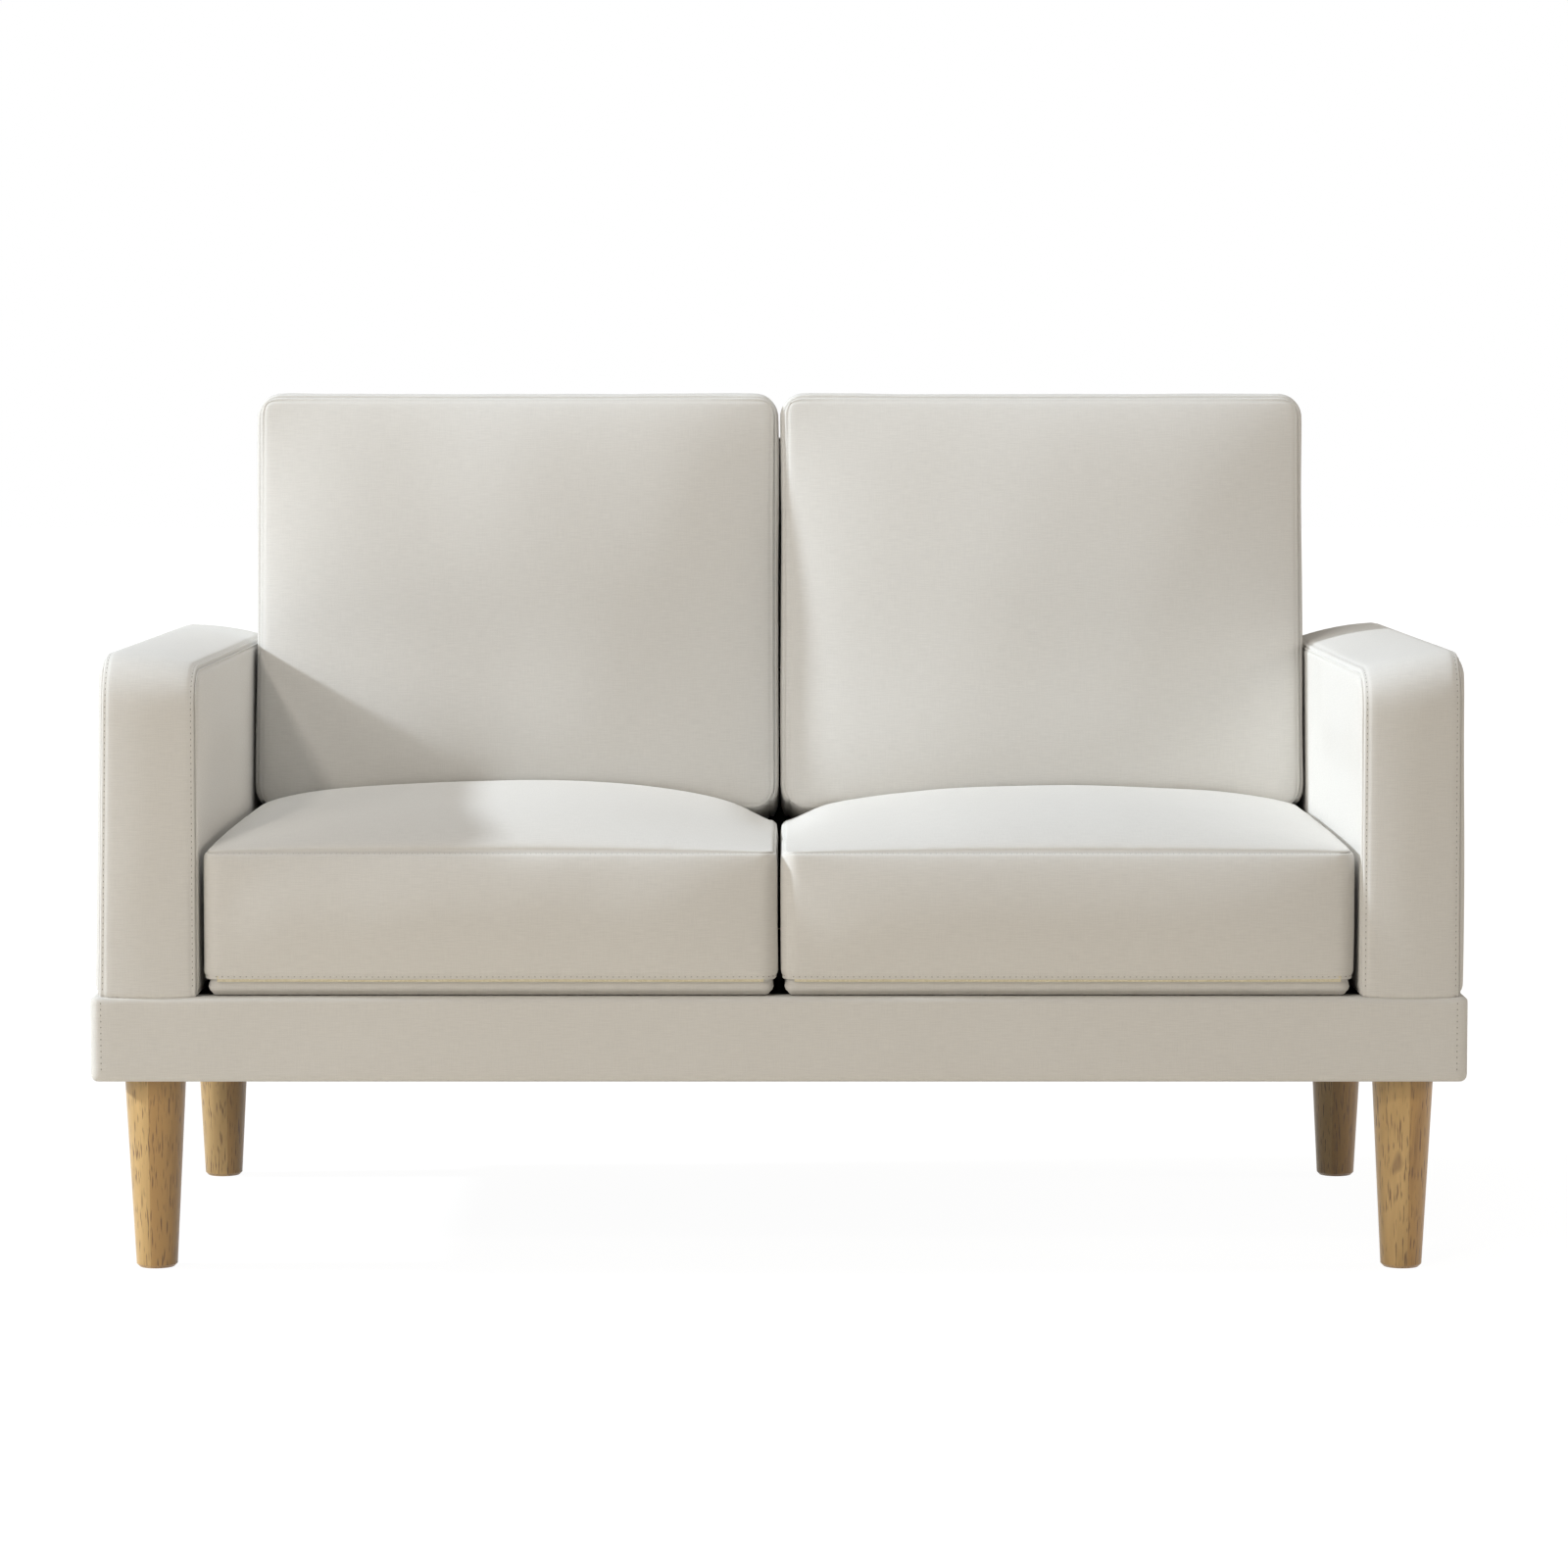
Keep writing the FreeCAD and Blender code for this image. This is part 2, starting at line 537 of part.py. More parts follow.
# Deck cloth over the webbing, slit where the arm bolts pass
body = new_body("deck_cloth")
LAP_X = "(sizes.base_width / 2 - sizes.lining_lap)"
sheet_low = (f"-{LAP_X}", f"{FRONT} + sizes.lining_lap")
sheet_high = (LAP_X, f"{REAR} - sizes.lining_lap")
cloth = rectangle(body, "XY_Plane", "cloth", sheet_low, sheet_high, BAND_TOP)
pad(body, cloth, "sizes.lining")
arm_bolt_centres = [
    (f"{side} * {ARM_BOLT_X}", y) for name, side in SIDES for y in (ARM_BOLT_FRONT, ARM_BOLT_REAR)]
cut_slits(body, arm_bolt_centres, BAND_TOP, "sizes.lining")
parts.append(body)

# Dust cover under the base, with holes for the hanger bolts
body = new_body("dust_cover")
cloth = rectangle(body, "XY_Plane", "cloth", sheet_low, sheet_high, LEG_TOP)
pad(body, cloth, "sizes.dust_cover")
leg_centres = [(f"{side} * {LEG_X}", y) for name, side in SIDES for y in (LEG_FRONT, LEG_REAR)]
cut_slits(body, leg_centres, LEG_TOP, "sizes.dust_cover")
parts.append(body)

# Turned legs: a long taper, a bevelled foot, a bore above and a glide recess below
for side_name, side in SIDES:
    for end_name, leg_y, inwards in ENDS:
        body = new_body(f"leg_{end_name}_{side_name}")
        half = outline(body, "XZ_Plane", "half", [
            ("0", "sizes.glide_proud"),
            ("sizes.leg_foot_diameter / 2 - sizes.leg_foot_round", "sizes.glide_proud"),
            ("sizes.leg_foot_diameter / 2", "sizes.glide_proud + sizes.leg_foot_round"),
            ("sizes.leg_top_diameter / 2", LEG_TOP), ("0", LEG_TOP)])
        turned = body.newObject("PartDesign::Revolution", f"{body.Name}_turned")
        turned.Profile = half
        turned.ReferenceAxis = (half, ["V_Axis"])
        turned.Angle = 360
        doc.recompute()
        bore = circles(body, "XY_Plane", "bore", [("0", "0")],
                       "sizes.bolt_diameter + sizes.bolt_play", LEG_TOP)
        pocket(body, bore, "sizes.hanger_in_leg")
        recess = circles(body, "XY_Plane", "recess", [("0", "0")],
                         "sizes.glide_diameter + sizes.bolt_play", "sizes.glide_proud")
        pocket(body, recess, "sizes.glide_depth", backwards=True)
        body.setExpression(".Placement.Base.x", f"{side} * {LEG_X}")
        body.setExpression(".Placement.Base.y", leg_y)
        parts.append(body)

# Leg fittings: pressed plates with a threaded boss, their screws, hanger bolts, glides
plates = []
screws = []
hangers = []
glides = []
PLATE_LOW = f"({PLATE_TOP} - sizes.plate_thickness)"
hanger_length = f"{PLATE_TOP} - {LEG_TOP} + sizes.hanger_in_leg + sizes.hanger_in_block"
for index, (x, y) in enumerate(leg_centres):
    body = new_body(f"leg_plate_{index}")
    half_side = "sizes.plate_side / 2"
    square = rectangle(body, "XY_Plane", "square", (f"{x} - {half_side}", f"{y} - {half_side}"),
                       (f"{x} + {half_side}", f"{y} + {half_side}"), PLATE_LOW)
    pad(body, square, "sizes.plate_thickness")
    boss = circles(body, "XY_Plane", "boss", [(x, y)], "sizes.plate_boss", "sizes.base_bottom")
    pad(body, boss, f"{PLATE_TOP} - sizes.base_bottom")
    bore = circles(body, "XY_Plane", "bore", [(x, y)],
                   "sizes.bolt_diameter + sizes.bolt_play", "sizes.base_bottom")
    pocket(body, bore, f"{PLATE_TOP} - sizes.base_bottom", backwards=True)
    plates.append(body)
    for across in (-1, 1):
        for along in (-1, 1):
            centre = (f"{x} + {across} * sizes.plate_screw_pitch / 2",
                      f"{y} + {along} * sizes.plate_screw_pitch / 2")
            turns = [2 * math.pi * i / FASTENER_SIDES for i in range(FASTENER_SIDES)]
            punched = outline(body, "XY_Plane", f"punched_{across + 1}_{along + 1}", [
                (f"{centre[0]} + {math.cos(turn)} * sizes.screw_hole / 2",
                 f"{centre[1]} + {math.sin(turn)} * sizes.screw_hole / 2")
                for turn in turns], PLATE_LOW)
            pocket(body, punched, "sizes.plate_thickness", backwards=True)
            name = f"screw_{index}_{across + 1}_{along + 1}"
            head = pin(f"{name}_head", centre, f"{PLATE_LOW} - sizes.screw_head_height",
                       "sizes.screw_head", "sizes.screw_head_height")
            shank = pin(f"{name}_shank", centre, PLATE_LOW,
                        "sizes.screw_diameter", "sizes.screw_length")
            screw = doc.addObject("Part::Fuse", name)
            screw.Base = head
            screw.Tool = shank
            screws.append(screw)
    hangers.append(cylinder(f"hanger_{index}", (x, y), f"{LEG_TOP} - sizes.hanger_in_leg",
                            "sizes.bolt_diameter", hanger_length))
    glides.append(cylinder(f"glide_{index}", (x, y), "0", "sizes.glide_diameter",
                           "sizes.glide_proud + sizes.glide_depth"))
parts.append(group("leg_plates", plates))
parts.append(group("leg_plate_screws", screws))
parts.append(group("hanger_bolts", hangers))
parts.append(group("leg_glides", glides))


# Arms
def arm_form(body, side, inset, nose, heel):
    """The arm's padded form: side outline, sloped outer face, front top corner rounded."""
    side_view = rectangle(
        body, "YZ_Plane", "side_view", (f"{FRONT} + {inset}", "sizes.base_top"),
        (f"{ARM_REAR} - {inset}", f"sizes.arm_top - {inset}"),
        f"{side} * (sizes.arm_inner + {inset})")
    pad(body, side_view, f"sizes.arm_foot - sizes.arm_inner - 2 * {inset}", backwards=side < 0)
    middle_y = BASE_FRONT + size("arm_length") / 2
    middle_z = (size("base_top") + size("arm_top")) / 2

    def top_edge(edge, at_front):
        centre = edge.BoundBox.Center
        return crosswise(edge) and centre.z > middle_z and (centre.y < middle_y) == at_front

    fillet(body, "nose", nose, lambda edge: top_edge(edge, True))
    fillet(body, "heel", heel, lambda edge: top_edge(edge, False))
    foot = f"{side} * (sizes.arm_foot - {inset})"
    head = f"{side} * (sizes.arm_head - {inset})"
    beyond = f"{side} * (sizes.arm_foot + sizes.arm_nose)"
    slope = outline(body, "XZ_Plane", "slope", [
        (foot, "sizes.base_top"), (head, "sizes.arm_top"), (beyond, "sizes.arm_top"),
        (beyond, "sizes.base_top")], f"-({FRONT})")
    pocket(body, slope, "sizes.arm_length")


def seam_edge(edge):
    """Outer edges between an arm's side panels and its boxing strip, the foot left square."""
    reach = edge.BoundBox
    hair = 0.5
    outermost = (reach.YMin < BASE_FRONT + hair
                 or reach.YMax > BASE_FRONT + size("arm_length") - hair
                 or reach.ZMax > size("arm_top") - hair)
    at_foot = reach.ZMax < size("base_top") + hair
    return outermost and not at_foot and not crosswise(edge)


FRAME_ARM_FRONT = f"({FRONT} + sizes.arm_frame_inset)"
FRAME_ARM_REAR = f"({ARM_REAR} - sizes.arm_frame_heel)"
POST_LOW = "(sizes.base_top + sizes.arm_bottom_rail)"
POST_HIGH = "(sizes.arm_frame_top - sizes.timber)"
for side_name, side in SIDES:
    low_x = "sizes.arm_frame_inner"
    if side < 0:
        low_x = "-(sizes.arm_frame_inner + sizes.arm_frame_width)"

    # Bottom rail, drilled for the two arm bolts and rebated for their tee nuts
    body = new_body(f"arm_bottom_rail_{side_name}")
    rail = rectangle(body, "XY_Plane", "rail", (low_x, FRAME_ARM_FRONT),
                     (f"{low_x} + sizes.arm_frame_width", FRAME_ARM_REAR), "sizes.base_top")
    pad(body, rail, "sizes.arm_bottom_rail")
    centres = [(f"{side} * {ARM_BOLT_X}", y) for y in (ARM_BOLT_FRONT, ARM_BOLT_REAR)]
    bores = circles(body, "XY_Plane", "bores", centres,
                    "sizes.bolt_diameter + sizes.bolt_play", "sizes.base_top")
    pocket(body, bores, "sizes.arm_bottom_rail", backwards=True)
    parts.append(body)

    # Top rail and the two posts, butt jointed and stapled
    parts.append(board(
        f"arm_top_rail_{side_name}", (low_x, FRAME_ARM_FRONT, POST_HIGH),
        ("sizes.arm_frame_width", f"{FRAME_ARM_REAR} - {FRAME_ARM_FRONT}", "sizes.timber")))
    post_size = ("sizes.arm_frame_width", "sizes.timber", f"{POST_HIGH} - {POST_LOW}")
    parts.append(board(
        f"arm_front_post_{side_name}", (low_x, FRAME_ARM_FRONT, POST_LOW), post_size))
    parts.append(board(
        f"arm_rear_post_{side_name}", (low_x, f"{FRAME_ARM_REAR} - sizes.timber", POST_LOW),
        post_size))

    # Plywood on the inner side, with two windows to save weight
    body = new_body(f"arm_board_{side_name}")
    panel = rectangle(body, "YZ_Plane", "panel", (FRAME_ARM_FRONT, "sizes.base_top"),
                      (FRAME_ARM_REAR, "sizes.arm_frame_top"),
                      f"{side} * sizes.arm_frame_inner")
    pad(body, panel, "sizes.arm_board", backwards=side > 0)
    middle_y = f"({FRAME_ARM_FRONT} + {FRAME_ARM_REAR}) / 2"
    for name, y0, y1 in (
            ("front_window", f"{FRAME_ARM_FRONT} + sizes.board_window",
             f"{middle_y} - sizes.board_stile / 2"),
            ("rear_window", f"{middle_y} + sizes.board_stile / 2",
             f"{FRAME_ARM_REAR} - sizes.board_window")):
        window = rectangle(body, "YZ_Plane", name, (y0, "sizes.base_top + sizes.board_window"),
                           (y1, "sizes.arm_frame_top - sizes.board_window"),
                           f"{side} * sizes.arm_frame_inner")
        pocket(body, window, "sizes.arm_board", backwards=side < 0)
    parts.append(body)

    # Foam wrapped over the timber
    body = new_body(f"arm_foam_{side_name}")
    foam_inset = "(sizes.cover_skin + sizes.arm_fit)"
    arm_form(body, side, foam_inset, f"sizes.arm_nose - {foam_inset}",
             f"sizes.arm_heel - {foam_inset}")
    inner_x = "(sizes.arm_frame_inner - sizes.arm_board)"
    outer_x = "(sizes.arm_frame_inner + sizes.arm_frame_width)"
    hollow = rectangle(body, "YZ_Plane", "hollow", (FRAME_ARM_FRONT, "sizes.base_top"),
                       (FRAME_ARM_REAR, "sizes.arm_frame_top"), f"{side} * {inner_x}")
    pocket(body, hollow, f"{outer_x} - {inner_x}", backwards=side > 0)
    parts.append(body)

    # Cover: side panels and one boxing strip, open below where it is stapled
    body = new_body(f"arm_cover_{side_name}")
    arm_form(body, side, "0", "sizes.arm_nose", "sizes.arm_heel")
    solid = body.Tip
    foot_face = [f"Face{i}" for i, face in enumerate(solid.Shape.Faces, 1)
                 if face.BoundBox.ZMax < size("base_top") + 0.01]
    shell = body.newObject("PartDesign::Thickness", f"{body.Name}_shell")
    shell.Base = (solid, foot_face)
    shell.Reversed = True
    shell.setExpression("Value", "sizes.cover_skin")
    doc.recompute()
    bevel(body, "seams", "sizes.arm_seam_bevel", seam_edge)
    parts.append(body)

# Arm bolts up through the glue blocks, and the tee nuts that they pull on
bolts = []
tee_nuts = []
TEE_TOP = "(sizes.base_top + sizes.arm_bottom_rail + sizes.tee_nut_thickness)"
for index, centre in enumerate(arm_bolt_centres):
    head = cylinder(f"arm_bolt_{index}_head", centre,
                    f"{BLOCK_LOW} - sizes.arm_bolt_head_height",
                    "sizes.arm_bolt_head", "sizes.arm_bolt_head_height")
    shank = cylinder(f"arm_bolt_{index}_shank", centre, BLOCK_LOW, "sizes.bolt_diameter",
                     f"{TEE_TOP} - {BLOCK_LOW}")
    bolt = doc.addObject("Part::Fuse", f"arm_bolt_{index}")
    bolt.Base = head
    bolt.Tool = shank
    bolts.append(bolt)
    flange = pin(f"tee_nut_{index}_flange", centre,
                 "sizes.base_top + sizes.arm_bottom_rail",
                 "sizes.tee_nut_flange", "sizes.tee_nut_thickness")
    thread = cylinder(f"tee_nut_{index}_thread", centre,
                      "sizes.base_top + sizes.arm_bottom_rail",
                      "sizes.bolt_diameter + sizes.thread_play", "sizes.tee_nut_thickness")
    nut = doc.addObject("Part::Cut", f"tee_nut_{index}")
    nut.Base = flange
    nut.Tool = thread
    tee_nuts.append(nut)
parts.append(group("arm_bolts", bolts))
parts.append(group("arm_tee_nuts", tee_nuts))


# Back
def leaning_block(body, name, low, high, near, far, half_from, half_to):
    """A pad across X whose front and rear lean with the back. near and far are
    distances forward of the back's rear face."""
    profile = outline(body, "YZ_Plane", name, [
        (leaning(low, near), low), (leaning(high, near), high),
        (leaning(high, far), high), (leaning(low, far), low)], half_from)
    return pad(body, profile, f"({half_to}) - ({half_from})")


TIMBER_NEAR = "sizes.back_rear_gap"
TIMBER_FAR = "(sizes.back_rear_gap + sizes.back_timber_depth)"
STRAP_FAR = f"({TIMBER_FAR} + sizes.strap_thickness)"
PAD_FAR = "(sizes.back_thickness - sizes.cover_skin)"
RAIL_HIGH = "(sizes.base_top + sizes.back_bottom_rail)"
TOP_TIMBER = "(sizes.back_top - sizes.back_top_roll)"
TIMBER_X = "(sizes.back_half_width - sizes.back_side_gap)"

body = new_body("back_bottom_rail")
leaning_block(body, "rail", "sizes.base_top", RAIL_HIGH, TIMBER_NEAR, TIMBER_FAR,
              f"-{TIMBER_X}", TIMBER_X)
parts.append(body)
body = new_body("back_top_rail")
leaning_block(body, "rail", f"{TOP_TIMBER} - sizes.timber", TOP_TIMBER, TIMBER_NEAR, TIMBER_FAR,
              f"-{TIMBER_X}", TIMBER_X)
parts.append(body)
for post, start in (("left", f"-{TIMBER_X}"), ("centre", "-sizes.timber / 2"),
                    ("right", f"{TIMBER_X} - sizes.timber")):
    body = new_body(f"back_post_{post}")
    leaning_block(body, "post", RAIL_HIGH, f"{TOP_TIMBER} - sizes.timber",
                  TIMBER_NEAR, TIMBER_FAR, start, f"{start} + sizes.timber")
    parts.append(body)

# Elastic straps across the front of the posts
BACK_STRAPS = 5
back_straps = []
for i in range(BACK_STRAPS):
    middle_z = f"(sizes.base_top + sizes.back_strap_first + {i} * sizes.back_strap_pitch)"
    body = new_body(f"back_strap_{i}")
    leaning_block(body, "strap", f"{middle_z} - sizes.strap_width / 2",
                  f"{middle_z} + sizes.strap_width / 2", TIMBER_FAR, STRAP_FAR,
                  f"-{TIMBER_X}", TIMBER_X)
    back_straps.append(body)
parts.append(group("back_webbing", back_straps))

# Foam over the straps, rolled over the top rail
body = new_body("back_padding")
PAD_TOP = "(sizes.back_top - sizes.cover_skin)"
PAD_X = "(sizes.back_half_width - sizes.cover_skin)"
profile = outline(body, "YZ_Plane", "hook", [
    (leaning("sizes.base_top", PAD_FAR), "sizes.base_top"),
    (leaning("sizes.base_top", STRAP_FAR), "sizes.base_top"),
    (leaning(TOP_TIMBER, STRAP_FAR), TOP_TIMBER),
    (leaning(TOP_TIMBER, SKIN), TOP_TIMBER),
    (leaning(PAD_TOP, SKIN), PAD_TOP),
    (leaning(PAD_TOP, PAD_FAR), PAD_TOP)], f"-{PAD_X}")
pad(body, profile, f"2 * {PAD_X}")
pad_round = "sizes.back_round - sizes.cover_skin"


def top_edge(edge):
    return crosswise(edge) and edge.BoundBox.ZMin > size("back_top") - size("back_round")


fillet(body, "roll", pad_round, top_edge)
parts.append(body)

# Cover of the back: rear, sides, top and the upper front, open below
body = new_body("back_cover")
leaning_block(body, "form", "sizes.base_top", "sizes.back_top", "0", "sizes.back_thickness",
              "-sizes.back_half_width", "sizes.back_half_width")
fillet(body, "roll", "sizes.back_round", top_edge)
nick = "sizes.back_inner_cut"
inner = outline(body, "YZ_Plane", "inner", [
    (leaning("sizes.base_top", SKIN), "sizes.base_top"),
    (leaning(f"{PAD_TOP} - {nick}", SKIN), f"{PAD_TOP} - {nick}"),
    (leaning(PAD_TOP, f"{SKIN} + {nick}"), PAD_TOP),
    (leaning(PAD_TOP, f"{PAD_FAR} - {nick}"), PAD_TOP),
    (leaning(f"{PAD_TOP} - {nick}", PAD_FAR), f"{PAD_TOP} - {nick}"),
    (leaning("sizes.base_top", PAD_FAR), "sizes.base_top")], f"-{PAD_X}")
pocket(body, inner, f"2 * {PAD_X}", backwards=True)
mouth = rectangle(
    body, "XZ_Plane", "mouth",
    ("-(sizes.back_half_width - sizes.lining_side)", "sizes.base_top - sizes.cover_skin"),
    ("sizes.back_half_width - sizes.lining_side", "sizes.lining_top"),
    f"-({leaning('sizes.lining_top', STRAP_FAR)})")
pocket(body, mouth, "sizes.back_thickness", backwards=True)
parts.append(body)

# Black lining in that mouth, behind the cushions
body = new_body("back_lining")
leaning_block(body, "cloth", "sizes.base_top", "sizes.lining_top", PAD_FAR,
              f"{PAD_FAR} + sizes.lining", "-(sizes.back_half_width - sizes.lining_side)",
              "sizes.back_half_width - sizes.lining_side")
parts.append(body)

# Hook plates: a tapered steel tongue on the back drops behind a plate on the arm
for label, start_gap, end_gap in (("back_hooks", 0, 0.5), ("arm_sockets", 0.5, 1)):
    plates = []
    for side_name, side in SIDES:
        for level in (0, 1):
            body = new_body(f"{label}_{side_name}_{level}")
            middle_z = f"(sizes.connector_low + {level} * sizes.connector_rise)"
            half_w = "sizes.connector_width / 2"
            low_z = f"{middle_z} - sizes.connector_height / 2"
            high_z = f"{middle_z} + sizes.connector_height / 2"
            narrow = f"({half_w} - sizes.connector_taper)"
            middle_y = f"({leaning(middle_z, 'sizes.back_thickness / 2')})"
            gap = "(sizes.arm_inner - sizes.back_half_width)"
            tongue = outline(body, "YZ_Plane", "tongue", [
                (f"{middle_y} - {narrow}", low_z), (f"{middle_y} + {narrow}", low_z),
                (f"{middle_y} + {half_w}", high_z), (f"{middle_y} - {half_w}", high_z)],
                f"{side} * (sizes.back_half_width + {start_gap} * {gap})")
            pad(body, tongue, f"{end_gap - start_gap} * {gap}", backwards=side < 0)
            plates.append(body)
    parts.append(group(label, plates))


# Cushions: each is what its three views have in common, so that it is crowned, its
# boxing swells between the seams, and its sides pull in between rounded corners
def prism(edges, run):
    """A solid drawn out from a closed outline along a vector."""
    return Part.Face(Part.Wire(edges)).extrude(run)


def bow(start, end, sag, outward):
    """One shallow arc from start to end that stands off its chord by sag."""
    return Part.Arc(start, (start + end) / 2 + outward * sag, end).toShape()


def straight(start, end):
    return Part.LineSegment(start, end).toShape()


def shoulder(run, rise, slope):
    """Middle of an arc from (0, 0) to (run, rise) that ends at a slope, in radians."""
    chord = math.hypot(run, rise)
    sag = chord / 2 * math.tan((math.atan2(rise, run) - slope) / 2)
    return run / 2 - sag * rise / chord, rise / 2 + sag * run / chord


def arch(start, end, outward, crown, run, rise):
    """Three tangent arcs from seam to seam: a shoulder, a long crest, a shoulder."""
    along = end - start
    span = along.Length
    along = along / span

    def at(forward, out):
        return start + along * forward + outward * out

    half = span / 2 - run
    crest_radius = (half ** 2 + (crown - rise) ** 2) / (2 * (crown - rise))
    middle, lift = shoulder(run, rise, math.asin(half / crest_radius))
    first = Part.Arc(start, at(middle, lift), at(run, rise)).toShape()
    crest = Part.Arc(at(run, rise), at(span / 2, crown), at(span - run, rise)).toShape()
    last = Part.Arc(at(span - run, rise), at(span - middle, lift), end).toShape()
    return [first, crest, last]


def corner_arc(corner, into, out_of, radius):
    """A quarter arc round a corner, from the edge run into it to the edge out of it."""
    start = corner - into * radius
    end = corner + out_of * radius
    centre = corner + (out_of - into) * radius
    towards = corner - centre
    middle = centre + towards * (radius / towards.Length)
    return start, Part.Arc(start, middle, end).toShape(), end


def soft_rectangle(corners, radii, draw):
    """Outline with rounded corners whose four sides pull in by draw between them."""
    arcs = []
    for i, corner in enumerate(corners):
        before = corners[i - 1]
        after = corners[(i + 1) % 4]
        into = (corner - before) / (corner - before).Length
        out_of = (after - corner) / (after - corner).Length
        arcs.append((corner_arc(corner, into, out_of, radii[i]), out_of - into))
    edges = []
    for i, ((start, arc, end), inwards) in enumerate(arcs):
        next_start = arcs[(i + 1) % 4][0][0]
        side = (next_start - end) / (next_start - end).Length
        inside = inwards - side * inwards.dot(side)
        edges.append(arc)
        edges.append(bow(end, next_start, draw, inside / inside.Length))
    return edges


def cushion_pair(cover_name, core_name, form, core):
    """Right-hand and left-hand covers, with their fibre wrap, and the cores they enclose."""
    pair = []
    for side_name, hand in (("right", form), ("left", form.mirror(point(0, 0, 0), RIGHT))):
        block = core if side_name == "right" else core.mirror(point(0, 0, 0), RIGHT)
        for name, shape in ((cover_name, hand.cut(block)), (core_name, block)):
            solid = doc.addObject("Part::Feature", f"{name}_{side_name}")
            solid.Label = solid.Name
            solid.Shape = shape
            pair.append(solid)
    return pair


point = FreeCAD.Vector
UP = point(0, 0, 1)
RIGHT = point(1, 0, 0)
FORWARD = point(0, -1, 0)
BACKWARD = point(0, 1, 0)
back_slope = (-CUSHION_FRONT - BASE_REAR) / (size("back_top") - size("base_top"))


def back_face(height):
    """Depth of the back's front face at a height."""
    rear_face = BASE_REAR + back_slope * (height - size("base_top"))
    return rear_face - size("back_thickness")


# Seat cushions
low = size("base_top") + size("cushion_gap")
seam = size("seat_seam")
seat_rear = back_face(size("base_top")) - size("seat_rear_gap")
bulge = size("seat_bulge")
edge_round = size("seat_edge_round")
run, rise = size("seat_shoulder_run"), size("seat_shoulder_rise")
# The crest ends in a straight fall that passes just under the back cushion's front
fall = math.radians(size("seat_fall"))
lean_in = math.radians(size("seat_crest_start"))
back_foot_y = back_face(size("back_cushion_low")) - size("back_cushion_foot")
crest_start = point(0, CUSHION_FRONT + bulge + run, seam + rise)
chord_slope = math.tan((lean_in - fall) / 2)
fall_slope = -math.tan(fall)
crest_end_y = (seam - fall_slope * back_foot_y - crest_start.z + chord_slope * crest_start.y) / (
    chord_slope - fall_slope)
crest_end = point(0, crest_end_y, crest_start.z + chord_slope * (crest_end_y - crest_start.y))
fall_end = point(0, seat_rear, crest_end.z + fall_slope * (seat_rear - crest_end_y))
crest_chord = crest_end - crest_start
crest_sag = crest_chord.Length / 2 * math.tan((lean_in + fall) / 4)
crest_normal = point(0, -crest_chord.z, crest_chord.y) / crest_chord.Length
seat_front_seam = point(0, CUSHION_FRONT + bulge, seam)
shoulder_out, shoulder_up = shoulder(run, rise, lean_in)
shoulder_middle = seat_front_seam + point(0, shoulder_out, shoulder_up)
foot_front = point(0, CUSHION_FRONT + bulge, low)
foot_start, foot_arc, foot_end = corner_arc(foot_front, FORWARD, UP, edge_round)
side_view = [
    foot_arc,
    bow(foot_end, seat_front_seam, bulge, FORWARD),
    Part.Arc(seat_front_seam, shoulder_middle, crest_start).toShape(),
    bow(crest_start, crest_end, crest_sag, crest_normal),
    straight(crest_end, fall_end),
    straight(fall_end, point(0, seat_rear, low)),
    straight(point(0, seat_rear, low), foot_start),
]
inner_x, outer_x = size("seat_middle_gap"), size("seat_outer")
from_side = prism([edge.translated(RIGHT * inner_x) for edge in side_view],
                  RIGHT * (outer_x - inner_x))
left_foot = point(inner_x + bulge, CUSHION_FRONT, low)
right_foot = point(outer_x - bulge, CUSHION_FRONT, low)
left_seam = point(inner_x + bulge, CUSHION_FRONT, seam)
right_seam = point(outer_x - bulge, CUSHION_FRONT, seam)
left_start, left_arc, left_end = corner_arc(left_foot, -RIGHT, UP, edge_round)
right_start, right_arc, right_end = corner_arc(right_foot, RIGHT, UP, edge_round)
front_view = [left_arc, bow(left_end, left_seam, bulge, -RIGHT)]
front_view += arch(left_seam, right_seam, UP, size("seat_crown"), run, rise)
front_view += [bow(right_seam, right_end, bulge, RIGHT), right_arc,
               straight(right_start, left_start)]
from_front = prism(front_view, BACKWARD * (seat_rear - CUSHION_FRONT))
plan = [point(inner_x, CUSHION_FRONT, low), point(outer_x, CUSHION_FRONT, low),
        point(outer_x, seat_rear, low), point(inner_x, seat_rear, low)]
from_above = prism(soft_rectangle(plan, [size("seat_corner")] * 4, size("seat_draw")),
                   UP * (seam + size("seat_crown") - low))
form = from_side.common(from_front).common(from_above)
wrap = size("fibre_wrap")
core_corner = point(inner_x + wrap, CUSHION_FRONT + wrap, low + wrap)
core = Part.makeBox(outer_x - inner_x - 2 * wrap, seat_rear - CUSHION_FRONT - 2 * wrap,
                    fall_end.z - low - 2 * wrap, core_corner)
parts += cushion_pair("seat_cushion_cover", "seat_foam", form, core)

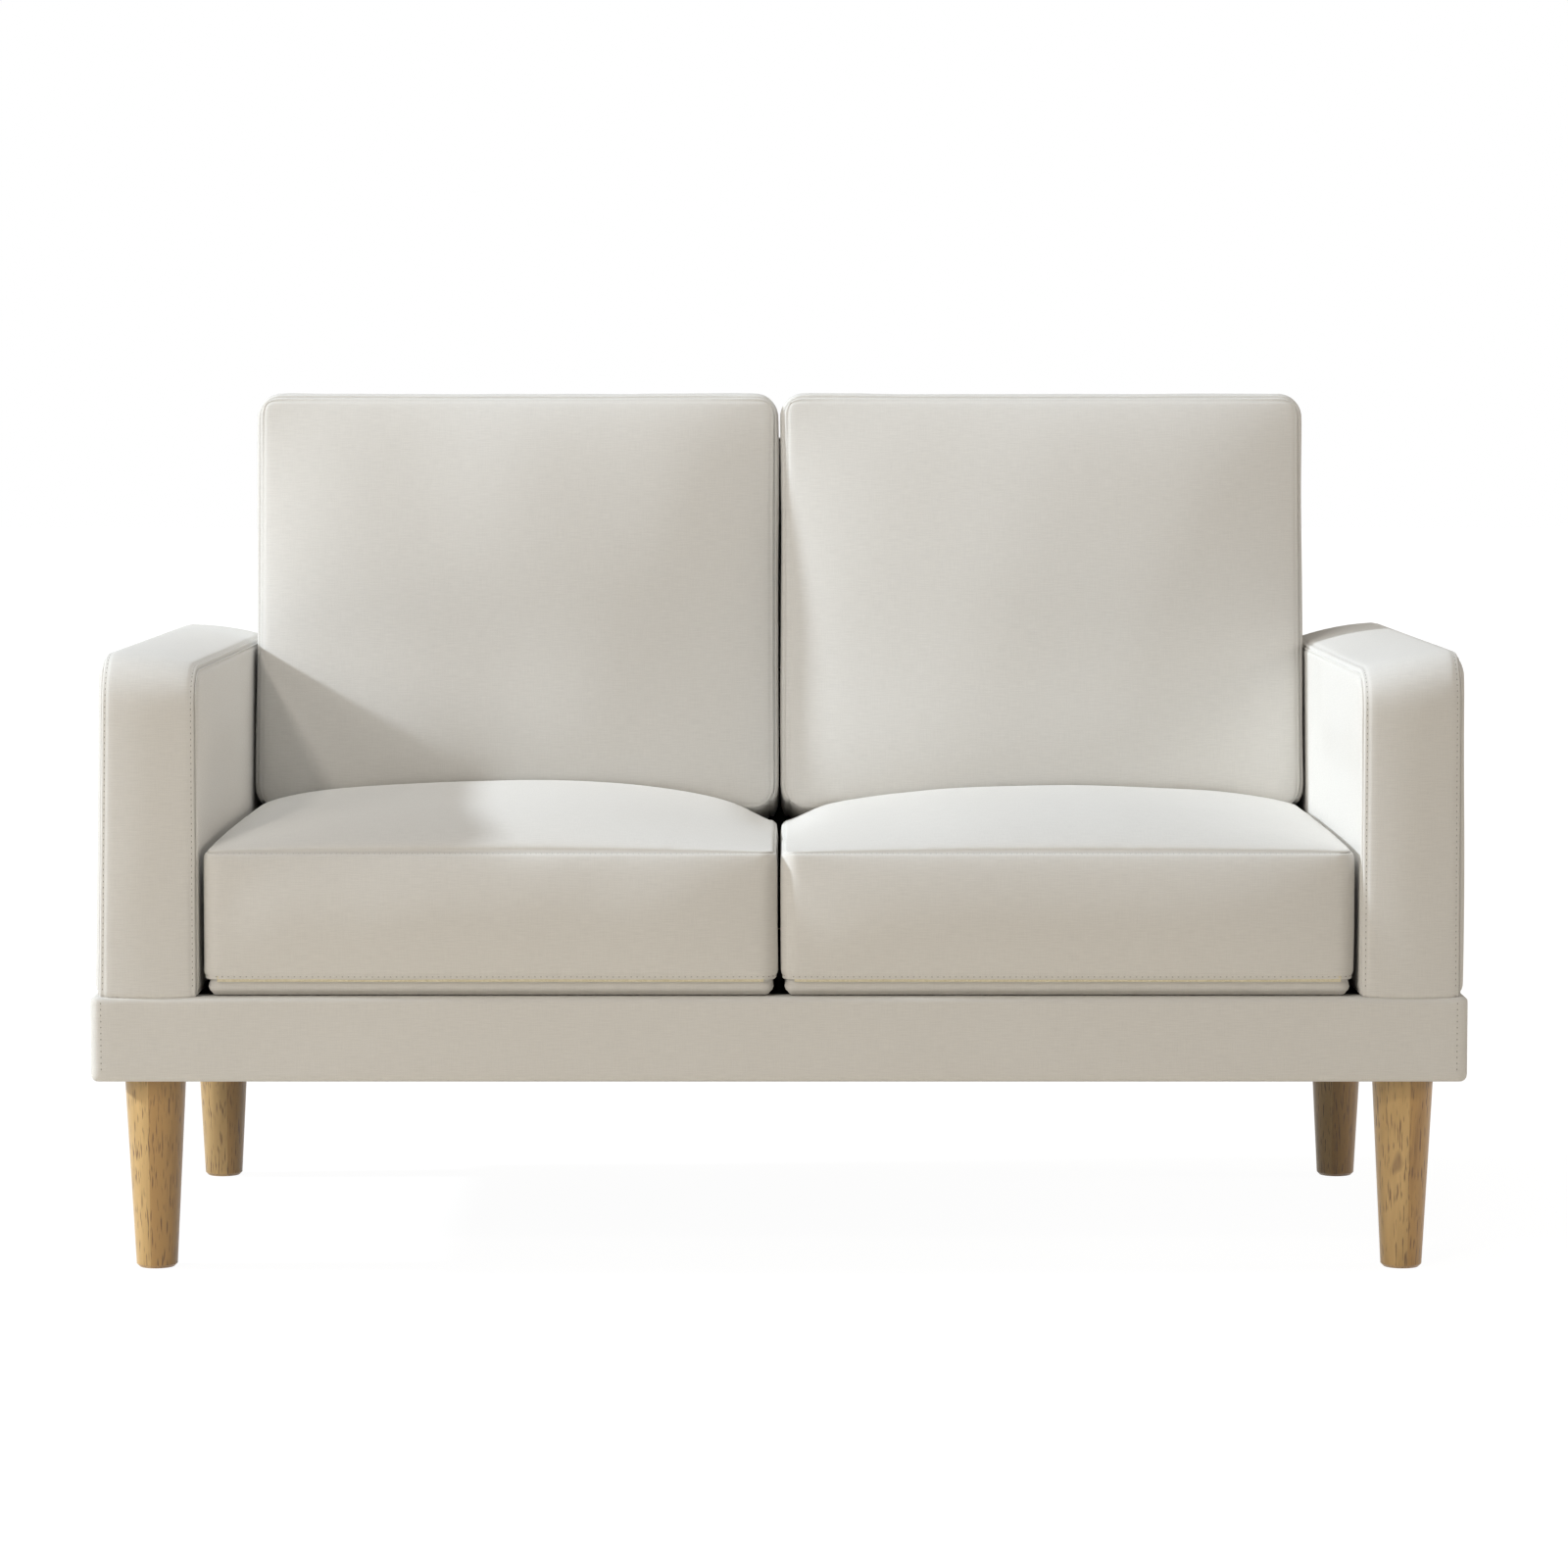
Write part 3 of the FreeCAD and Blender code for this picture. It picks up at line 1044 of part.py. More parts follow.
# Back cushions: a wedge that stands on the seat and leans on the back
low, high = size("back_cushion_low"), size("back_cushion_high")
bulge = size("back_cushion_bulge")
run, rise = size("back_shoulder_run"), size("back_shoulder_rise")
gap = size("cushion_gap")
head_front = point(0, back_face(high) - size("back_cushion_head"), high - bulge)
foot_front = point(0, back_foot_y, low)
heel_z = low + fall_slope * size("back_cushion_foot")
heel = point(0, back_face(heel_z) - gap, heel_z)
head_rear = point(0, back_face(high) - gap, high - bulge)
lean = (head_front - foot_front) / (head_front - foot_front).Length
out_of_front = point(0, -lean.z, lean.y)
side_view = arch(foot_front, head_front, out_of_front, size("back_cushion_crown"), run, rise)
side_view += [bow(head_front, head_rear, bulge, UP), straight(head_rear, heel),
              straight(heel, foot_front)]
inner_x, outer_x = size("back_cushion_middle_gap"), size("back_cushion_outer")
from_side = prism([edge.translated(RIGHT * inner_x) for edge in side_view],
                  RIGHT * (outer_x - inner_x))
# Crown across the cushion, drawn out along the lean of its front
start_y = foot_front.y + lean.y / lean.z * (heel_z - low)
left_seam = point(inner_x + bulge, start_y, heel_z)
right_seam = point(outer_x - bulge, start_y, heel_z)
depth = point(0, size("back_cushion_swell"), 0)
from_above_edges = arch(left_seam, right_seam, FORWARD, size("back_cushion_crown"), run, rise)
from_above_edges += [bow(right_seam, right_seam + depth, bulge, RIGHT),
                     straight(right_seam + depth, left_seam + depth),
                     bow(left_seam + depth, left_seam, bulge, -RIGHT)]
from_above = prism(from_above_edges, lean * ((high - heel_z) / lean.z))
front = [point(inner_x, 0, heel_z), point(outer_x, 0, heel_z),
         point(outer_x, 0, high), point(inner_x, 0, high)]
corner = size("back_cushion_corner")
from_front = prism(soft_rectangle(front, [corner] * 4, size("back_cushion_draw")),
                   BACKWARD * size("total_depth"))
form = from_side.common(from_above).common(from_front)
wrap = size("fibre_wrap")
reach = [point(inner_x + wrap, foot_front.y + wrap, low + wrap),
         point(inner_x + wrap, head_front.y + wrap, high - 2 * wrap),
         point(inner_x + wrap, back_face(high) - wrap, high - 2 * wrap),
         point(inner_x + wrap, back_face(low) - wrap, low + wrap)]
core = prism([straight(reach[i], reach[(i + 1) % 4]) for i in range(4)],
             RIGHT * (outer_x - inner_x - 2 * wrap))
parts += cushion_pair("back_cushion_cover", "back_fill", form, core)

# Check and write
doc.recompute()
for item in doc.Objects:
    if "Invalid" in item.State or "Error" in item.State:
        raise RuntimeError(f"{item.Label} failed: {item.State}")
os.makedirs("parts", exist_ok=True)
for part in parts:
    shape = part.Shape
    if shape.isNull() or not shape.isValid() or shape.Volume <= 0:
        raise RuntimeError(f"{part.Label} has no valid solid")
for part in parts:
    part.Shape.exportStep(f"parts/{part.Label}.step")
print(f"{len(parts)} nodes written")
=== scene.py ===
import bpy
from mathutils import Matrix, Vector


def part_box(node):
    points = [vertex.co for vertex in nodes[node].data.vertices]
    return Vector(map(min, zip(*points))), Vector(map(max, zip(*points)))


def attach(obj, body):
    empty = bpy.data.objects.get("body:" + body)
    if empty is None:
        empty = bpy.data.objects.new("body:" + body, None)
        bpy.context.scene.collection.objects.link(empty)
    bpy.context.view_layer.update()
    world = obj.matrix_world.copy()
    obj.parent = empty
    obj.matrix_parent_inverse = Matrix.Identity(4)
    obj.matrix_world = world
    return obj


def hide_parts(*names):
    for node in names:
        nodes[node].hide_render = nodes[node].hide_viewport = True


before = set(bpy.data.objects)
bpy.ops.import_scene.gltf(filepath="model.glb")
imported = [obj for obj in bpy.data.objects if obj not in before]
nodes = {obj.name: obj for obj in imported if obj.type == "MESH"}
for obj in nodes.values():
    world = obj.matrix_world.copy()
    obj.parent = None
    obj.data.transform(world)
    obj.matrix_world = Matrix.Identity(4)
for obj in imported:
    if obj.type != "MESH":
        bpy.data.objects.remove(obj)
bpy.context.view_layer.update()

import math

import bmesh
import bpy
import numpy as np
from mathutils import Vector

# Camera: square on, at eye height, tipped down a little, 4.9 m in front of the settee's front.
# Its height and distance come from where the seat's and the arms' edges meet.
camera = bpy.data.objects.new("camera", bpy.data.cameras.new("camera"))
bpy.context.collection.objects.link(camera)
camera.location = (0.0048, -5.275, 0.8386)
camera.rotation_euler = (math.radians(90 - 4.216), 0, 0)
camera.data.sensor_width = 36
camera.data.lens = 117.5
bpy.context.scene.camera = camera


# Legs: turned from plantation hardwood, tapered, bevelled at the foot and clear lacquered.
# Each is painted paler on its left, where the key light falls: painted light. Open pores and
# darker growth bands run down them.
class Value:
    """One number or vector in a material; arithmetic on it adds the nodes that do it."""

    def __init__(self, recipe, socket):
        self.recipe = recipe
        self.socket = socket

    def math(self, operation, first, second=0.0):
        return self.recipe.node("ShaderNodeMath", {"operation": operation},
                                {0: first, 1: second})

    def __add__(self, other):
        return self.math("ADD", self, other)

    __radd__ = __add__

    def __sub__(self, other):
        return self.math("SUBTRACT", self, other)

    def __rsub__(self, other):
        return self.math("SUBTRACT", other, self)

    def __mul__(self, other):
        return self.math("MULTIPLY", self, other)

    __rmul__ = __mul__

    def __gt__(self, other):
        return self.math("GREATER_THAN", self, other)

    def __abs__(self):
        return self.math("ABSOLUTE", self)

    def sine(self):
        return self.math("SINE", self)

    def larger(self, other):
        return self.math("MAXIMUM", self, other)

    def smaller(self, other):
        return self.math("MINIMUM", self, other)


class Recipe:
    """A node tree put together step by step: every node comes from node()."""

    def __init__(self, tree):
        self.tree = tree

    def node(self, kind, settings, sockets, output=0):
        made = self.tree.nodes.new(kind)
        for name, value in settings.items():
            if name == "stops":
                for element, (position, colour) in zip(made.color_ramp.elements, value):
                    element.position = position
                    element.color = (*colour, 1)
            else:
                setattr(made, name, value)
        for key, value in sockets.items():
            if isinstance(value, Value):
                self.tree.links.new(value.socket, made.inputs[key])
            else:
                made.inputs[key].default_value = value
        return Value(self, made.outputs[output])


class Finish(Recipe):
    """A material; constants are set on its shader, an underscore standing for a space."""

    def __init__(self, name, **constants):
        self.material = bpy.data.materials.new(name)
        self.material.use_nodes = True
        super().__init__(self.material.node_tree)
        self.shader = self.tree.nodes["Principled BSDF"]
        for socket, value in constants.items():
            self.shader.inputs[socket.replace("_", " ")].default_value = value

    def split(self, whole):
        return [self.node("ShaderNodeSeparateXYZ", {}, {0: whole}, axis) for axis in "XYZ"]

    def place(self):
        """Object-space x, y and z."""
        return self.split(self.node("ShaderNodeTexCoord", {}, {}, "Object"))

    def vector(self, x, y, z=0.0):
        return self.node("ShaderNodeCombineXYZ", {}, {0: x, 1: y, 2: z})

    def noise(self, where, detail=2.0, roughness=0.5, flat=False):
        return self.node("ShaderNodeTexNoise", {"noise_dimensions": "2D" if flat else "3D"},
                         {"Vector": where, "Scale": 1.0, "Detail": detail,
                          "Roughness": roughness})

    def ramp(self, amount, stops):
        """From one colour to another between two amounts."""
        return self.node("ShaderNodeValToRGB", {"stops": stops}, {0: amount})

    def blend(self, amount, first, second, how="MIX"):
        first = first if isinstance(first, Value) else (*first, 1)
        second = second if isinstance(second, Value) else (*second, 1)
        return self.node("ShaderNodeMix", {"data_type": "RGBA", "blend_type": how},
                         {0: amount, 6: first, 7: second}, 2)

    def feed(self, socket, value):
        self.tree.links.new(value.socket, self.shader.inputs[socket])

    def bump(self, height, distance, strength=1.0):
        self.feed("Normal", self.node("ShaderNodeBump", {},
                                      {"Height": height, "Distance": distance,
                                       "Strength": strength}))


def cover(obj, material):
    """Gives an object one material."""
    obj.data.materials.clear()
    obj.data.materials.append(material)


def leg_wood(name, lit_side_edge, shade_tone):
    """Lacquered wood down a leg; lit_side_edge is the x left of which the wood is painted paler,
    as painted light from the key lamp on that side, and shade_tone is a share of the full colours,
    below one as painted shade on the rear legs."""
    def shade_toned(*colour):
        return tuple(channel * shade_tone for channel in colour)

    wood = Finish(name, Roughness=0.42, Coat_Weight=0.25, Coat_Roughness=0.3)
    x, y, z = wood.place()
    sway = wood.noise(wood.vector(x * 9, y * 9, z * 3.2), 2.0)
    band = wood.noise(wood.vector(x * 46 + sway * 3, y * 46, z * 5.5 + sway), 3.0, 0.6)
    body = wood.ramp(band, [(0.30, shade_toned(0.33, 0.18, 0.062)),
                            (0.45, shade_toned(0.50, 0.295, 0.105))])
    # Painted light: these paler colours go on the leg's left, as if lit by the key lamp there
    pale = wood.ramp(band, [(0.32, shade_toned(0.53, 0.34, 0.130)),
                            (0.66, shade_toned(0.74, 0.50, 0.220))])
    # Painted light left of lit_side_edge, the wood's own colours on the rest
    painted_lit_side = wood.blend(x > lit_side_edge, pale, body)
    pore = wood.noise(wood.vector(x * 620, y * 620, z * 46), 1.0)
    pores = wood.ramp(pore, [(0.30, (1, 1, 1)), (0.42, (0, 0, 0))])
    spots = wood.noise(wood.vector(x * 60, y * 60, z * 22), 1.0)
    knots = wood.ramp(spots, [(0.70, (0, 0, 0)), (0.80, (1, 1, 1))])
    coloured = wood.blend(pores, painted_lit_side, shade_toned(0.22, 0.12, 0.05))
    coloured = wood.blend(knots * 0.6, coloured, shade_toned(0.20, 0.10, 0.045))
    wood.feed("Base Color", coloured)
    wood.feed("Roughness", 0.36 + pore * 0.16)
    wood.bump(pore, 0.0003, 0.5)
    return wood.material


SIDES = (("left", -1), ("right", 1))
# How far the edge of the painted light on a leg's left lies from its middle, and the wood's
# # tone at either end: darker at the rear, as painted shade under the settee
LEG_ENDS = (("front", 0.004, 1.0), ("rear", -0.006, 0.78))
for side_name, side in SIDES:
    for end_name, offset, shade_tone in LEG_ENDS:
        name = f"leg_{end_name}_{side_name}"
        low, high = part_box(name)
        lit_side_edge = (low[0] + high[0]) / 2 + offset * side
        cover(nodes[name], leg_wood(f"{name}_wood", lit_side_edge, shade_tone))

# Base: four rails under one band of cream linen-look cloth over thin foam. The cloth turns
# over the rails' tops and under their bottoms, and is seamed at the four upright corners.
CREAM = (0.80, 0.788, 0.76)


def linen(name, colour):
    """Plain-woven linen look: uneven threads both ways, drawn on the side that faces out."""
    cloth = Finish(name, Roughness=0.86, Sheen_Weight=0.12, Sheen_Roughness=0.5,
                   Specular_IOR_Level=0.22)
    x, y, z = cloth.place()
    nx, ny, nz = [abs(part) for part in cloth.split(
        cloth.node("ShaderNodeTexCoord", {}, {}, "Normal"))]
    sideways = nx > ny.larger(nz)
    upwards = nz > nx.larger(ny)
    across = x + sideways * (y - x)
    along = z + upwards * (y - z)
    weft = cloth.noise(cloth.vector(across * 62, along * 1250), 2.0, 0.6, flat=True)
    warp = cloth.noise(cloth.vector(across * 1250, along * 56), 2.0, 0.6, flat=True)
    broad = cloth.noise(cloth.vector(x * 5, y * 5, z * 5), 2.0)
    thread = weft * 0.62 + warp * 0.38
    dark = [channel * 0.9472 for channel in colour]
    light = [channel * 1.0198 for channel in colour]
    woven = cloth.ramp(thread, [(0.34, dark), (0.66, light)])
    warmed = cloth.blend(broad * 0.5, woven, (1.0, 0.990, 0.970), "MULTIPLY")
    cloth.feed("Base Color", warmed)
    cloth.feed("Roughness", 0.80 + thread * 0.14)
    weave = (across * 6300).sine() * (along * 6300).sine()
    cloth.bump(thread + weave * 0.18, 0.0004, 0.35)
    return cloth.material


linen_cloth = linen("linen_cloth", CREAM)
thread_finish = Finish("topstitch_thread", Roughness=0.6, Sheen_Weight=0.1)
tx, ty, tz = thread_finish.place()
twist = thread_finish.noise(thread_finish.vector(tx * 900, ty * 900, tz * 900), 1.0)
thread_finish.feed("Base Color", thread_finish.ramp(
    twist, [(0.3, (0.72, 0.70, 0.65)), (0.7, (0.84, 0.825, 0.78))]))


def mesh_piece(name, points, faces, material, body, closed=False):
    """A new object in the settee's frame that rides on a body."""
    data = bpy.data.meshes.new(name)
    data.from_pydata([tuple(point) for point in points], [], faces)
    if closed:
        shell = bmesh.new()
        shell.from_mesh(data)
        bmesh.ops.recalc_face_normals(shell, faces=shell.faces)
        shell.to_mesh(data)
        shell.free()
    for face in data.polygons:
        face.use_smooth = True
    obj = bpy.data.objects.new(name, data)
    bpy.context.collection.objects.link(obj)
    cover(obj, material)
    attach(obj, body)
    return obj


# Painted shade: a dark patch for the shade in each needle hole between stitches
needle_hole_shade = Finish("needle_hole_shade", Roughness=0.9, Base_Color=(0.30, 0.28, 0.245, 1))


def stitches(name, runs, body, pitch=0.0058, length=0.0040, width=0.0014, height=0.0008):
    """Topstitching: short raised lozenges of thread along each run, and between one and the
    next a dark patch of painted shade for the needle hole."""
    points, faces, hole_shades = [], [], []
    for path, normals in runs:
        gaps = np.linalg.norm(np.diff(path, axis=0), axis=1)
        reach = np.concatenate([[0], np.cumsum(gaps)])
        for start in np.arange(pitch / 2, reach[-1] - pitch, pitch):
            tail, middle, head = [
                np.array([np.interp(distance, reach, path[:, i]) for i in range(3)])
                for distance in (start, start + length / 2, start + length)]
            lift = np.array([np.interp(start, reach, normals[:, i]) for i in range(3)])
            lift = lift / np.linalg.norm(lift)
            along = head - tail
            along = along / max(np.linalg.norm(along), 1e-9)
            across = np.cross(lift, along) * width / 2
            first = len(points)
            tips_sunk = lift * height * 0.6
            sides_sunk = tips_sunk * 0.2
            points += [tail - tips_sunk, middle + across - sides_sunk, middle + lift * height,
                       middle - across - sides_sunk, head - tips_sunk]
            faces += [(first, first + 1, first + 2), (first, first + 2, first + 3),
                      (first + 4, first + 2, first + 1), (first + 4, first + 3, first + 2)]
            # Painted shade of the needle hole, lying just above the cloth
            spot = head + along * (pitch - length) / 2 + lift * height * 0.2
            half_hole_shade = along * (pitch - length) * 0.55
            hole_shades.append([spot - half_hole_shade, spot - across * 0.8, spot + half_hole_shade,
                          spot + across * 0.8])
    threads = len(faces)
    for hole_shade in hole_shades:
        first = len(points)
        points += hole_shade
        faces.append((first, first + 1, first + 2, first + 3))
    obj = mesh_piece(name, points, faces, thread_finish.material, body)
    obj.data.materials.append(needle_hole_shade.material)
    for face in obj.data.polygons[threads:]:
        face.material_index = 1
    return obj


def ripples(a, b, seed, size, amount):
    """Soft unevenness of a stuffed surface: a few long waves that cross at random."""
    rng = np.random.default_rng(seed)
    total = np.zeros_like(a)
    for _ in range(9):
        turn = rng.uniform(0, math.pi)
        wave = size * rng.uniform(0.6, 1.8)
        total += np.sin((a * math.cos(turn) + b * math.sin(turn)) * math.tau / wave
                        + rng.uniform(0, math.tau))
    return total * amount / 4


# The band's section, outwards from its turned-in top edge round to its turned-in lower edge:
# (distance outside the base's side, height)
base_low, base_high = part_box("base_cover")
half_w = base_high[0]
front_y, rear_y = base_low[1], base_high[1]
foot_z, top_z = base_low[2], base_high[2]
section = [(-0.040, top_z - 0.0012), (-0.020, top_z - 0.0004), (-0.008, top_z),
           (-0.0045, top_z - 0.0002), (-0.0022, top_z - 0.0011), (-0.0007, top_z - 0.0028),
           (-0.0001, top_z - 0.006)]
section += [(-0.0001, top_z - 0.006 - (top_z - foot_z - 0.014) * k / 9) for k in range(1, 9)]
section += [(-0.0001, foot_z + 0.008), (-0.0010, foot_z + 0.0042), (-0.0028, foot_z + 0.0016),
            (-0.0050, foot_z + 0.0004), (-0.008, foot_z), (-0.028, foot_z + 0.0003)]
rows = len(section)
upright_rows = range(6, rows - 5)
corner_radius = 0.010
column_pitch = 0.014
corner_columns = []
for corner, (sx, sy) in enumerate(((1, -1), (1, 1), (-1, 1), (-1, -1))):
    centre = np.array((sx * (half_w - corner_radius),
                       (front_y if sy < 0 else rear_y) - sy * corner_radius))
    for k in range(7):
        turn = math.radians(-90 + 90 * corner + 15 * k)
        outward = np.array((math.cos(turn), math.sin(turn)))
        corner_columns.append((centre + corner_radius * outward, outward))
plan = []
for i, (start, outward) in enumerate(corner_columns):
    plan.append((start, outward))
    end = corner_columns[(i + 1) % len(corner_columns)][0]
    gap = np.linalg.norm(end - start)
    if gap > 3 * column_pitch:
        count = int(gap / column_pitch)
        plan += [(start + (end - start) * k / count, outward) for k in range(1, count)]
points, faces = [], []
for spot, outward in plan:
    for row, (out, z) in enumerate(section):
        place = spot + outward * out
        if row in upright_rows:
            wave = ripples(place[0] + place[1] * 0.7, z, 11, 0.22, 0.0005)
            place = place + outward * (min(0, wave) - 0.0003)
        points.append((place[0], place[1], z))
for column in range(len(plan)):
    after = (column + 1) % len(plan)
    for row in range(rows - 1):
        faces.append((column * rows + row, column * rows + row + 1,
                      after * rows + row + 1, after * rows + row))
base_band = mesh_piece("base_band", points, faces, linen_cloth, "frame")
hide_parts("base_cover")
seam_aside, seam_sunk = 0.0115, 0.0004
heights = np.linspace(foot_z + 0.005, top_z - 0.004, 12)
corner_runs = []
for side_name, side in SIDES:
    for face_y, outward_y in ((front_y, -1), (rear_y, 1)):
        run = np.array([(side * (half_w - seam_aside), face_y - outward_y * seam_sunk, z)
                        for z in heights])
        corner_runs.append((run, np.tile((0, outward_y, 0), (len(run), 1))))
base_stitching = stitches("base_corner_stitching", corner_runs, "frame")

# Arms: a timber frame with a plywood inner panel, wrapped in foam. The cover is two side panels
# joined by one boxing strip that climbs the front, rounds the nose and runs back over the top.
# It is topstitched on both sides of the inner seam, and on the strip beside the outer one.
# How far from a seam a panel or a strip has its rows of points; the stitching follows one
SEAM_ROWS = [0, 0.0016, 0.0032, 0.0048, 0.0070, 0.0100, 0.0150, 0.0230, 0.0340]
STITCH_ROW = 3


def seam_dip(distance):
    """How a panel dips into its seam and swells again beyond the topstitching."""
    return np.interp(distance, [0, 0.0016, 0.0032, 0.0048, 0.0070, 0.0100, 0.0150],
                     [-0.0036, -0.0010, -0.0002, -0.0011, 0.0000, 0.0003, 0.0])


def plain_dip(distance):
    """A seam drawn in only a little, where the stitching lies on the seam itself."""
    return np.interp(distance, [0, 0.0016, 0.0032, 0.0048], [-0.0022, -0.0007, -0.0001, 0.0])


def spread(length, coarse):
    """Distances along a side, close together by the seams."""
    near = [row for row in SEAM_ROWS if row < length * 0.3]
    count = max(2, round((length - 2 * near[-1]) / coarse))
    middle = [near[-1] + (length - 2 * near[-1]) * k / count for k in range(1, count)]
    return np.array(near + middle + [length - row for row in reversed(near)])


def outline_side(start, end, radius_start, radius_end, fractions, pull):
    """Points and outward normals from one rounded corner's middle to the next's."""
    start, end = np.array(start), np.array(end)
    along = (end - start) / np.linalg.norm(end - start)
    outward = np.array([along[1], -along[0]])
    straight = np.linalg.norm(end - start) - radius_start - radius_end
    arc_start, arc_end = radius_start * math.pi / 4, radius_end * math.pi / 4
    total = arc_start + straight + arc_end
    spots, facing = [], []
    for fraction in fractions:
        distance = fraction * total
        if distance < arc_start:
            turn = (arc_start - distance) / radius_start
            centre = start + along * radius_start - outward * radius_start
            normal = outward * math.cos(turn) - along * math.sin(turn)
            spots.append(centre + normal * radius_start)
        elif distance > arc_start + straight:
            turn = (distance - arc_start - straight) / radius_end
            centre = end - along * radius_end - outward * radius_end
            normal = outward * math.cos(turn) + along * math.sin(turn)
            spots.append(centre + normal * radius_end)
        else:
            share = (distance - arc_start) / straight
            normal = outward
            spots.append(start + along * (radius_start + share * straight)
                         - outward * pull * math.sin(math.pi * share) ** 0.8)
        facing.append(normal)
    return np.array(spots), np.array(facing)


def boxed(name, size, depth, radii, material, body, place, front, strip, rear=None,
          front_dip=seam_dip, pull=0.0, coarse=0.012, strip_rows=0.012):
    """A boxed cover: front and rear panels joined by a strip, all in (a, b, c) for place().

    size is the panel's width and height and depth the strip's; radii run from the lower left
    corner round to the right. front, rear and strip add to each surface's height, pull draws
    the sides in between the corners, and coarse and strip_rows space the points. Returns the
    object, and the numbers of the points that it can be stitched along: round the rear panel,
    on the front seam, and on the strip beside the front and the rear seam."""
    width, height = size
    s = spread(width, coarse) / width
    t = spread(height, coarse) / height
    corners = [(-width / 2, -height / 2), (width / 2, -height / 2),
               (width / 2, height / 2), (-width / 2, height / 2)]
    lower, lower_n = outline_side(corners[0], corners[1], radii[0], radii[1], s, pull)
    right, right_n = outline_side(corners[1], corners[2], radii[1], radii[2], t, pull)
    upper, upper_n = outline_side(corners[2], corners[3], radii[2], radii[3], 1 - s[::-1], pull)
    left, left_n = outline_side(corners[3], corners[0], radii[3], radii[0], 1 - t[::-1], pull)
    upper, left = upper[::-1], left[::-1]
    ns, nt = len(s), len(t)
    grid = np.zeros((ns, nt, 2))
    for i in range(ns):
        for j in range(nt):
            u, v = s[i], t[j]
            grid[i, j] = ((1 - v) * lower[i] + v * upper[i] + (1 - u) * left[j] + u * right[j]
                          - (1 - u) * (1 - v) * lower[0] - u * (1 - v) * lower[-1]
                          - (1 - u) * v * upper[0] - u * v * upper[-1])
    edge_s = np.minimum(s, 1 - s) * width
    edge_t = np.minimum(t, 1 - t) * height
    edge = np.minimum(edge_s[:, None], edge_t[None, :])
    u = (2 * s - 1)[:, None] + 0 * edge
    v = (2 * t - 1)[None, :] + 0 * edge
    a, b = grid[..., 0], grid[..., 1]
    loop = ([(i, 0) for i in range(ns - 1)] + [(ns - 1, j) for j in range(nt - 1)]
            + [(i, nt - 1) for i in range(ns - 1, 0, -1)] + [(0, j) for j in range(nt - 1, 0, -1)])
    loop_normals = np.array([*lower_n[:-1], *right_n[:-1], *upper_n[:-1], *left_n[:-1]])
    rim = np.array([grid[i, j] for i, j in loop])
    points, number = [], {}
    for face, high, extra, sign, dips in (("front", depth, front, 1, front_dip),
                                          ("rear", 0.0, rear, -1, seam_dip)):
        bulge = extra(a, b, u, v, edge) if extra else 0 * edge
        c = high + sign * (bulge + dips(edge))
        dip = dips(0.0)
        number[face] = np.zeros((ns, nt), int)
        for i in range(ns):
            for j in range(nt):
                number[face][i, j] = len(points)
                points.append((a[i, j], b[i, j], c[i, j]))
        for k, (i, j) in enumerate(loop):
            at = number[face][i, j]
            inwards = rim[k] + loop_normals[k] * dip
            points[at] = (inwards[0], inwards[1], high + sign * dip)
    levels = spread(depth, strip_rows)[::-1]
    distance_round = np.concatenate([[0], np.cumsum(np.linalg.norm(np.diff(rim, axis=0), axis=1))])
    strip_number = np.zeros((len(levels), len(loop)), int)
    for row, level in enumerate(levels):
        for k, (i, j) in enumerate(loop):
            if row == 0 or row == len(levels) - 1:
                strip_number[row, k] = number["front" if row == 0 else "rear"][i, j]
                continue
            share = level / depth
            out = float(seam_dip(level) if level < depth / 2 else front_dip(depth - level))
            out += strip(distance_round[k], rim[k], loop_normals[k], share)
            spot = rim[k] + loop_normals[k] * out
            strip_number[row, k] = len(points)
            points.append((spot[0], spot[1], level))
    faces = []
    for i in range(ns - 1):
        for j in range(nt - 1):
            f, r = number["front"], number["rear"]
            faces.append((f[i, j], f[i + 1, j], f[i + 1, j + 1], f[i, j + 1]))
            faces.append((r[i, j], r[i, j + 1], r[i + 1, j + 1], r[i + 1, j]))
    count = len(loop)
    for row in range(len(levels) - 1):
        for k in range(count):
            after = (k + 1) % count
            faces.append((strip_number[row, k], strip_number[row + 1, k],
                          strip_number[row + 1, after], strip_number[row, after]))
    obj = mesh_piece(name, place(np.array(points, float)),
                     [tuple(int(n) for n in face) for face in faces], material, body,
                     closed=True)
    m = STITCH_ROW
    ring = ([(i, m) for i in range(m, ns - m)] + [(ns - 1 - m, j) for j in range(m, nt - m)]
            + [(i, nt - 1 - m) for i in range(ns - 1 - m, m - 1, -1)]
            + [(m, j) for j in range(nt - 1 - m, m - 1, -1)])
    rings = {"rear": [int(number["rear"][i, j]) for i, j in ring],
             "seam": [int(number["front"][i, j]) for i, j in loop + loop[:1]]}
    for beside, row in (("strip_front", strip_number[m]), ("strip_rear", strip_number[-1 - m])):
        rings[beside] = [int(n) for n in (*row, row[0])]
    return obj, rings


def stitched(name, obj, rings, body, keep=None, **thread):
    """Topstitching along rings of an object's own points, left out where keep() says so."""
    places = np.array([vertex.co for vertex in obj.data.vertices])
    normals = np.array([vertex.normal for vertex in obj.data.vertices])
    runs = []
    for ring in rings:
        path, facing = places[ring], normals[ring]
        shown = [keep is None or keep(spot) for spot in path]
        start = None
        for i, seen in enumerate(shown + [False]):
            if seen and start is None:
                start = i
            if not seen and start is not None:
                if i - start > 2:
                    runs.append((path[start:i], facing[start:i]))
                start = None
    return stitches(name, runs, body, **thread)


def smooth(share):
    """Eases from 0 to 1 with a share, and stays level outside."""
    share = np.clip(share, 0, 1)
    return share * share * (3 - 2 * share)


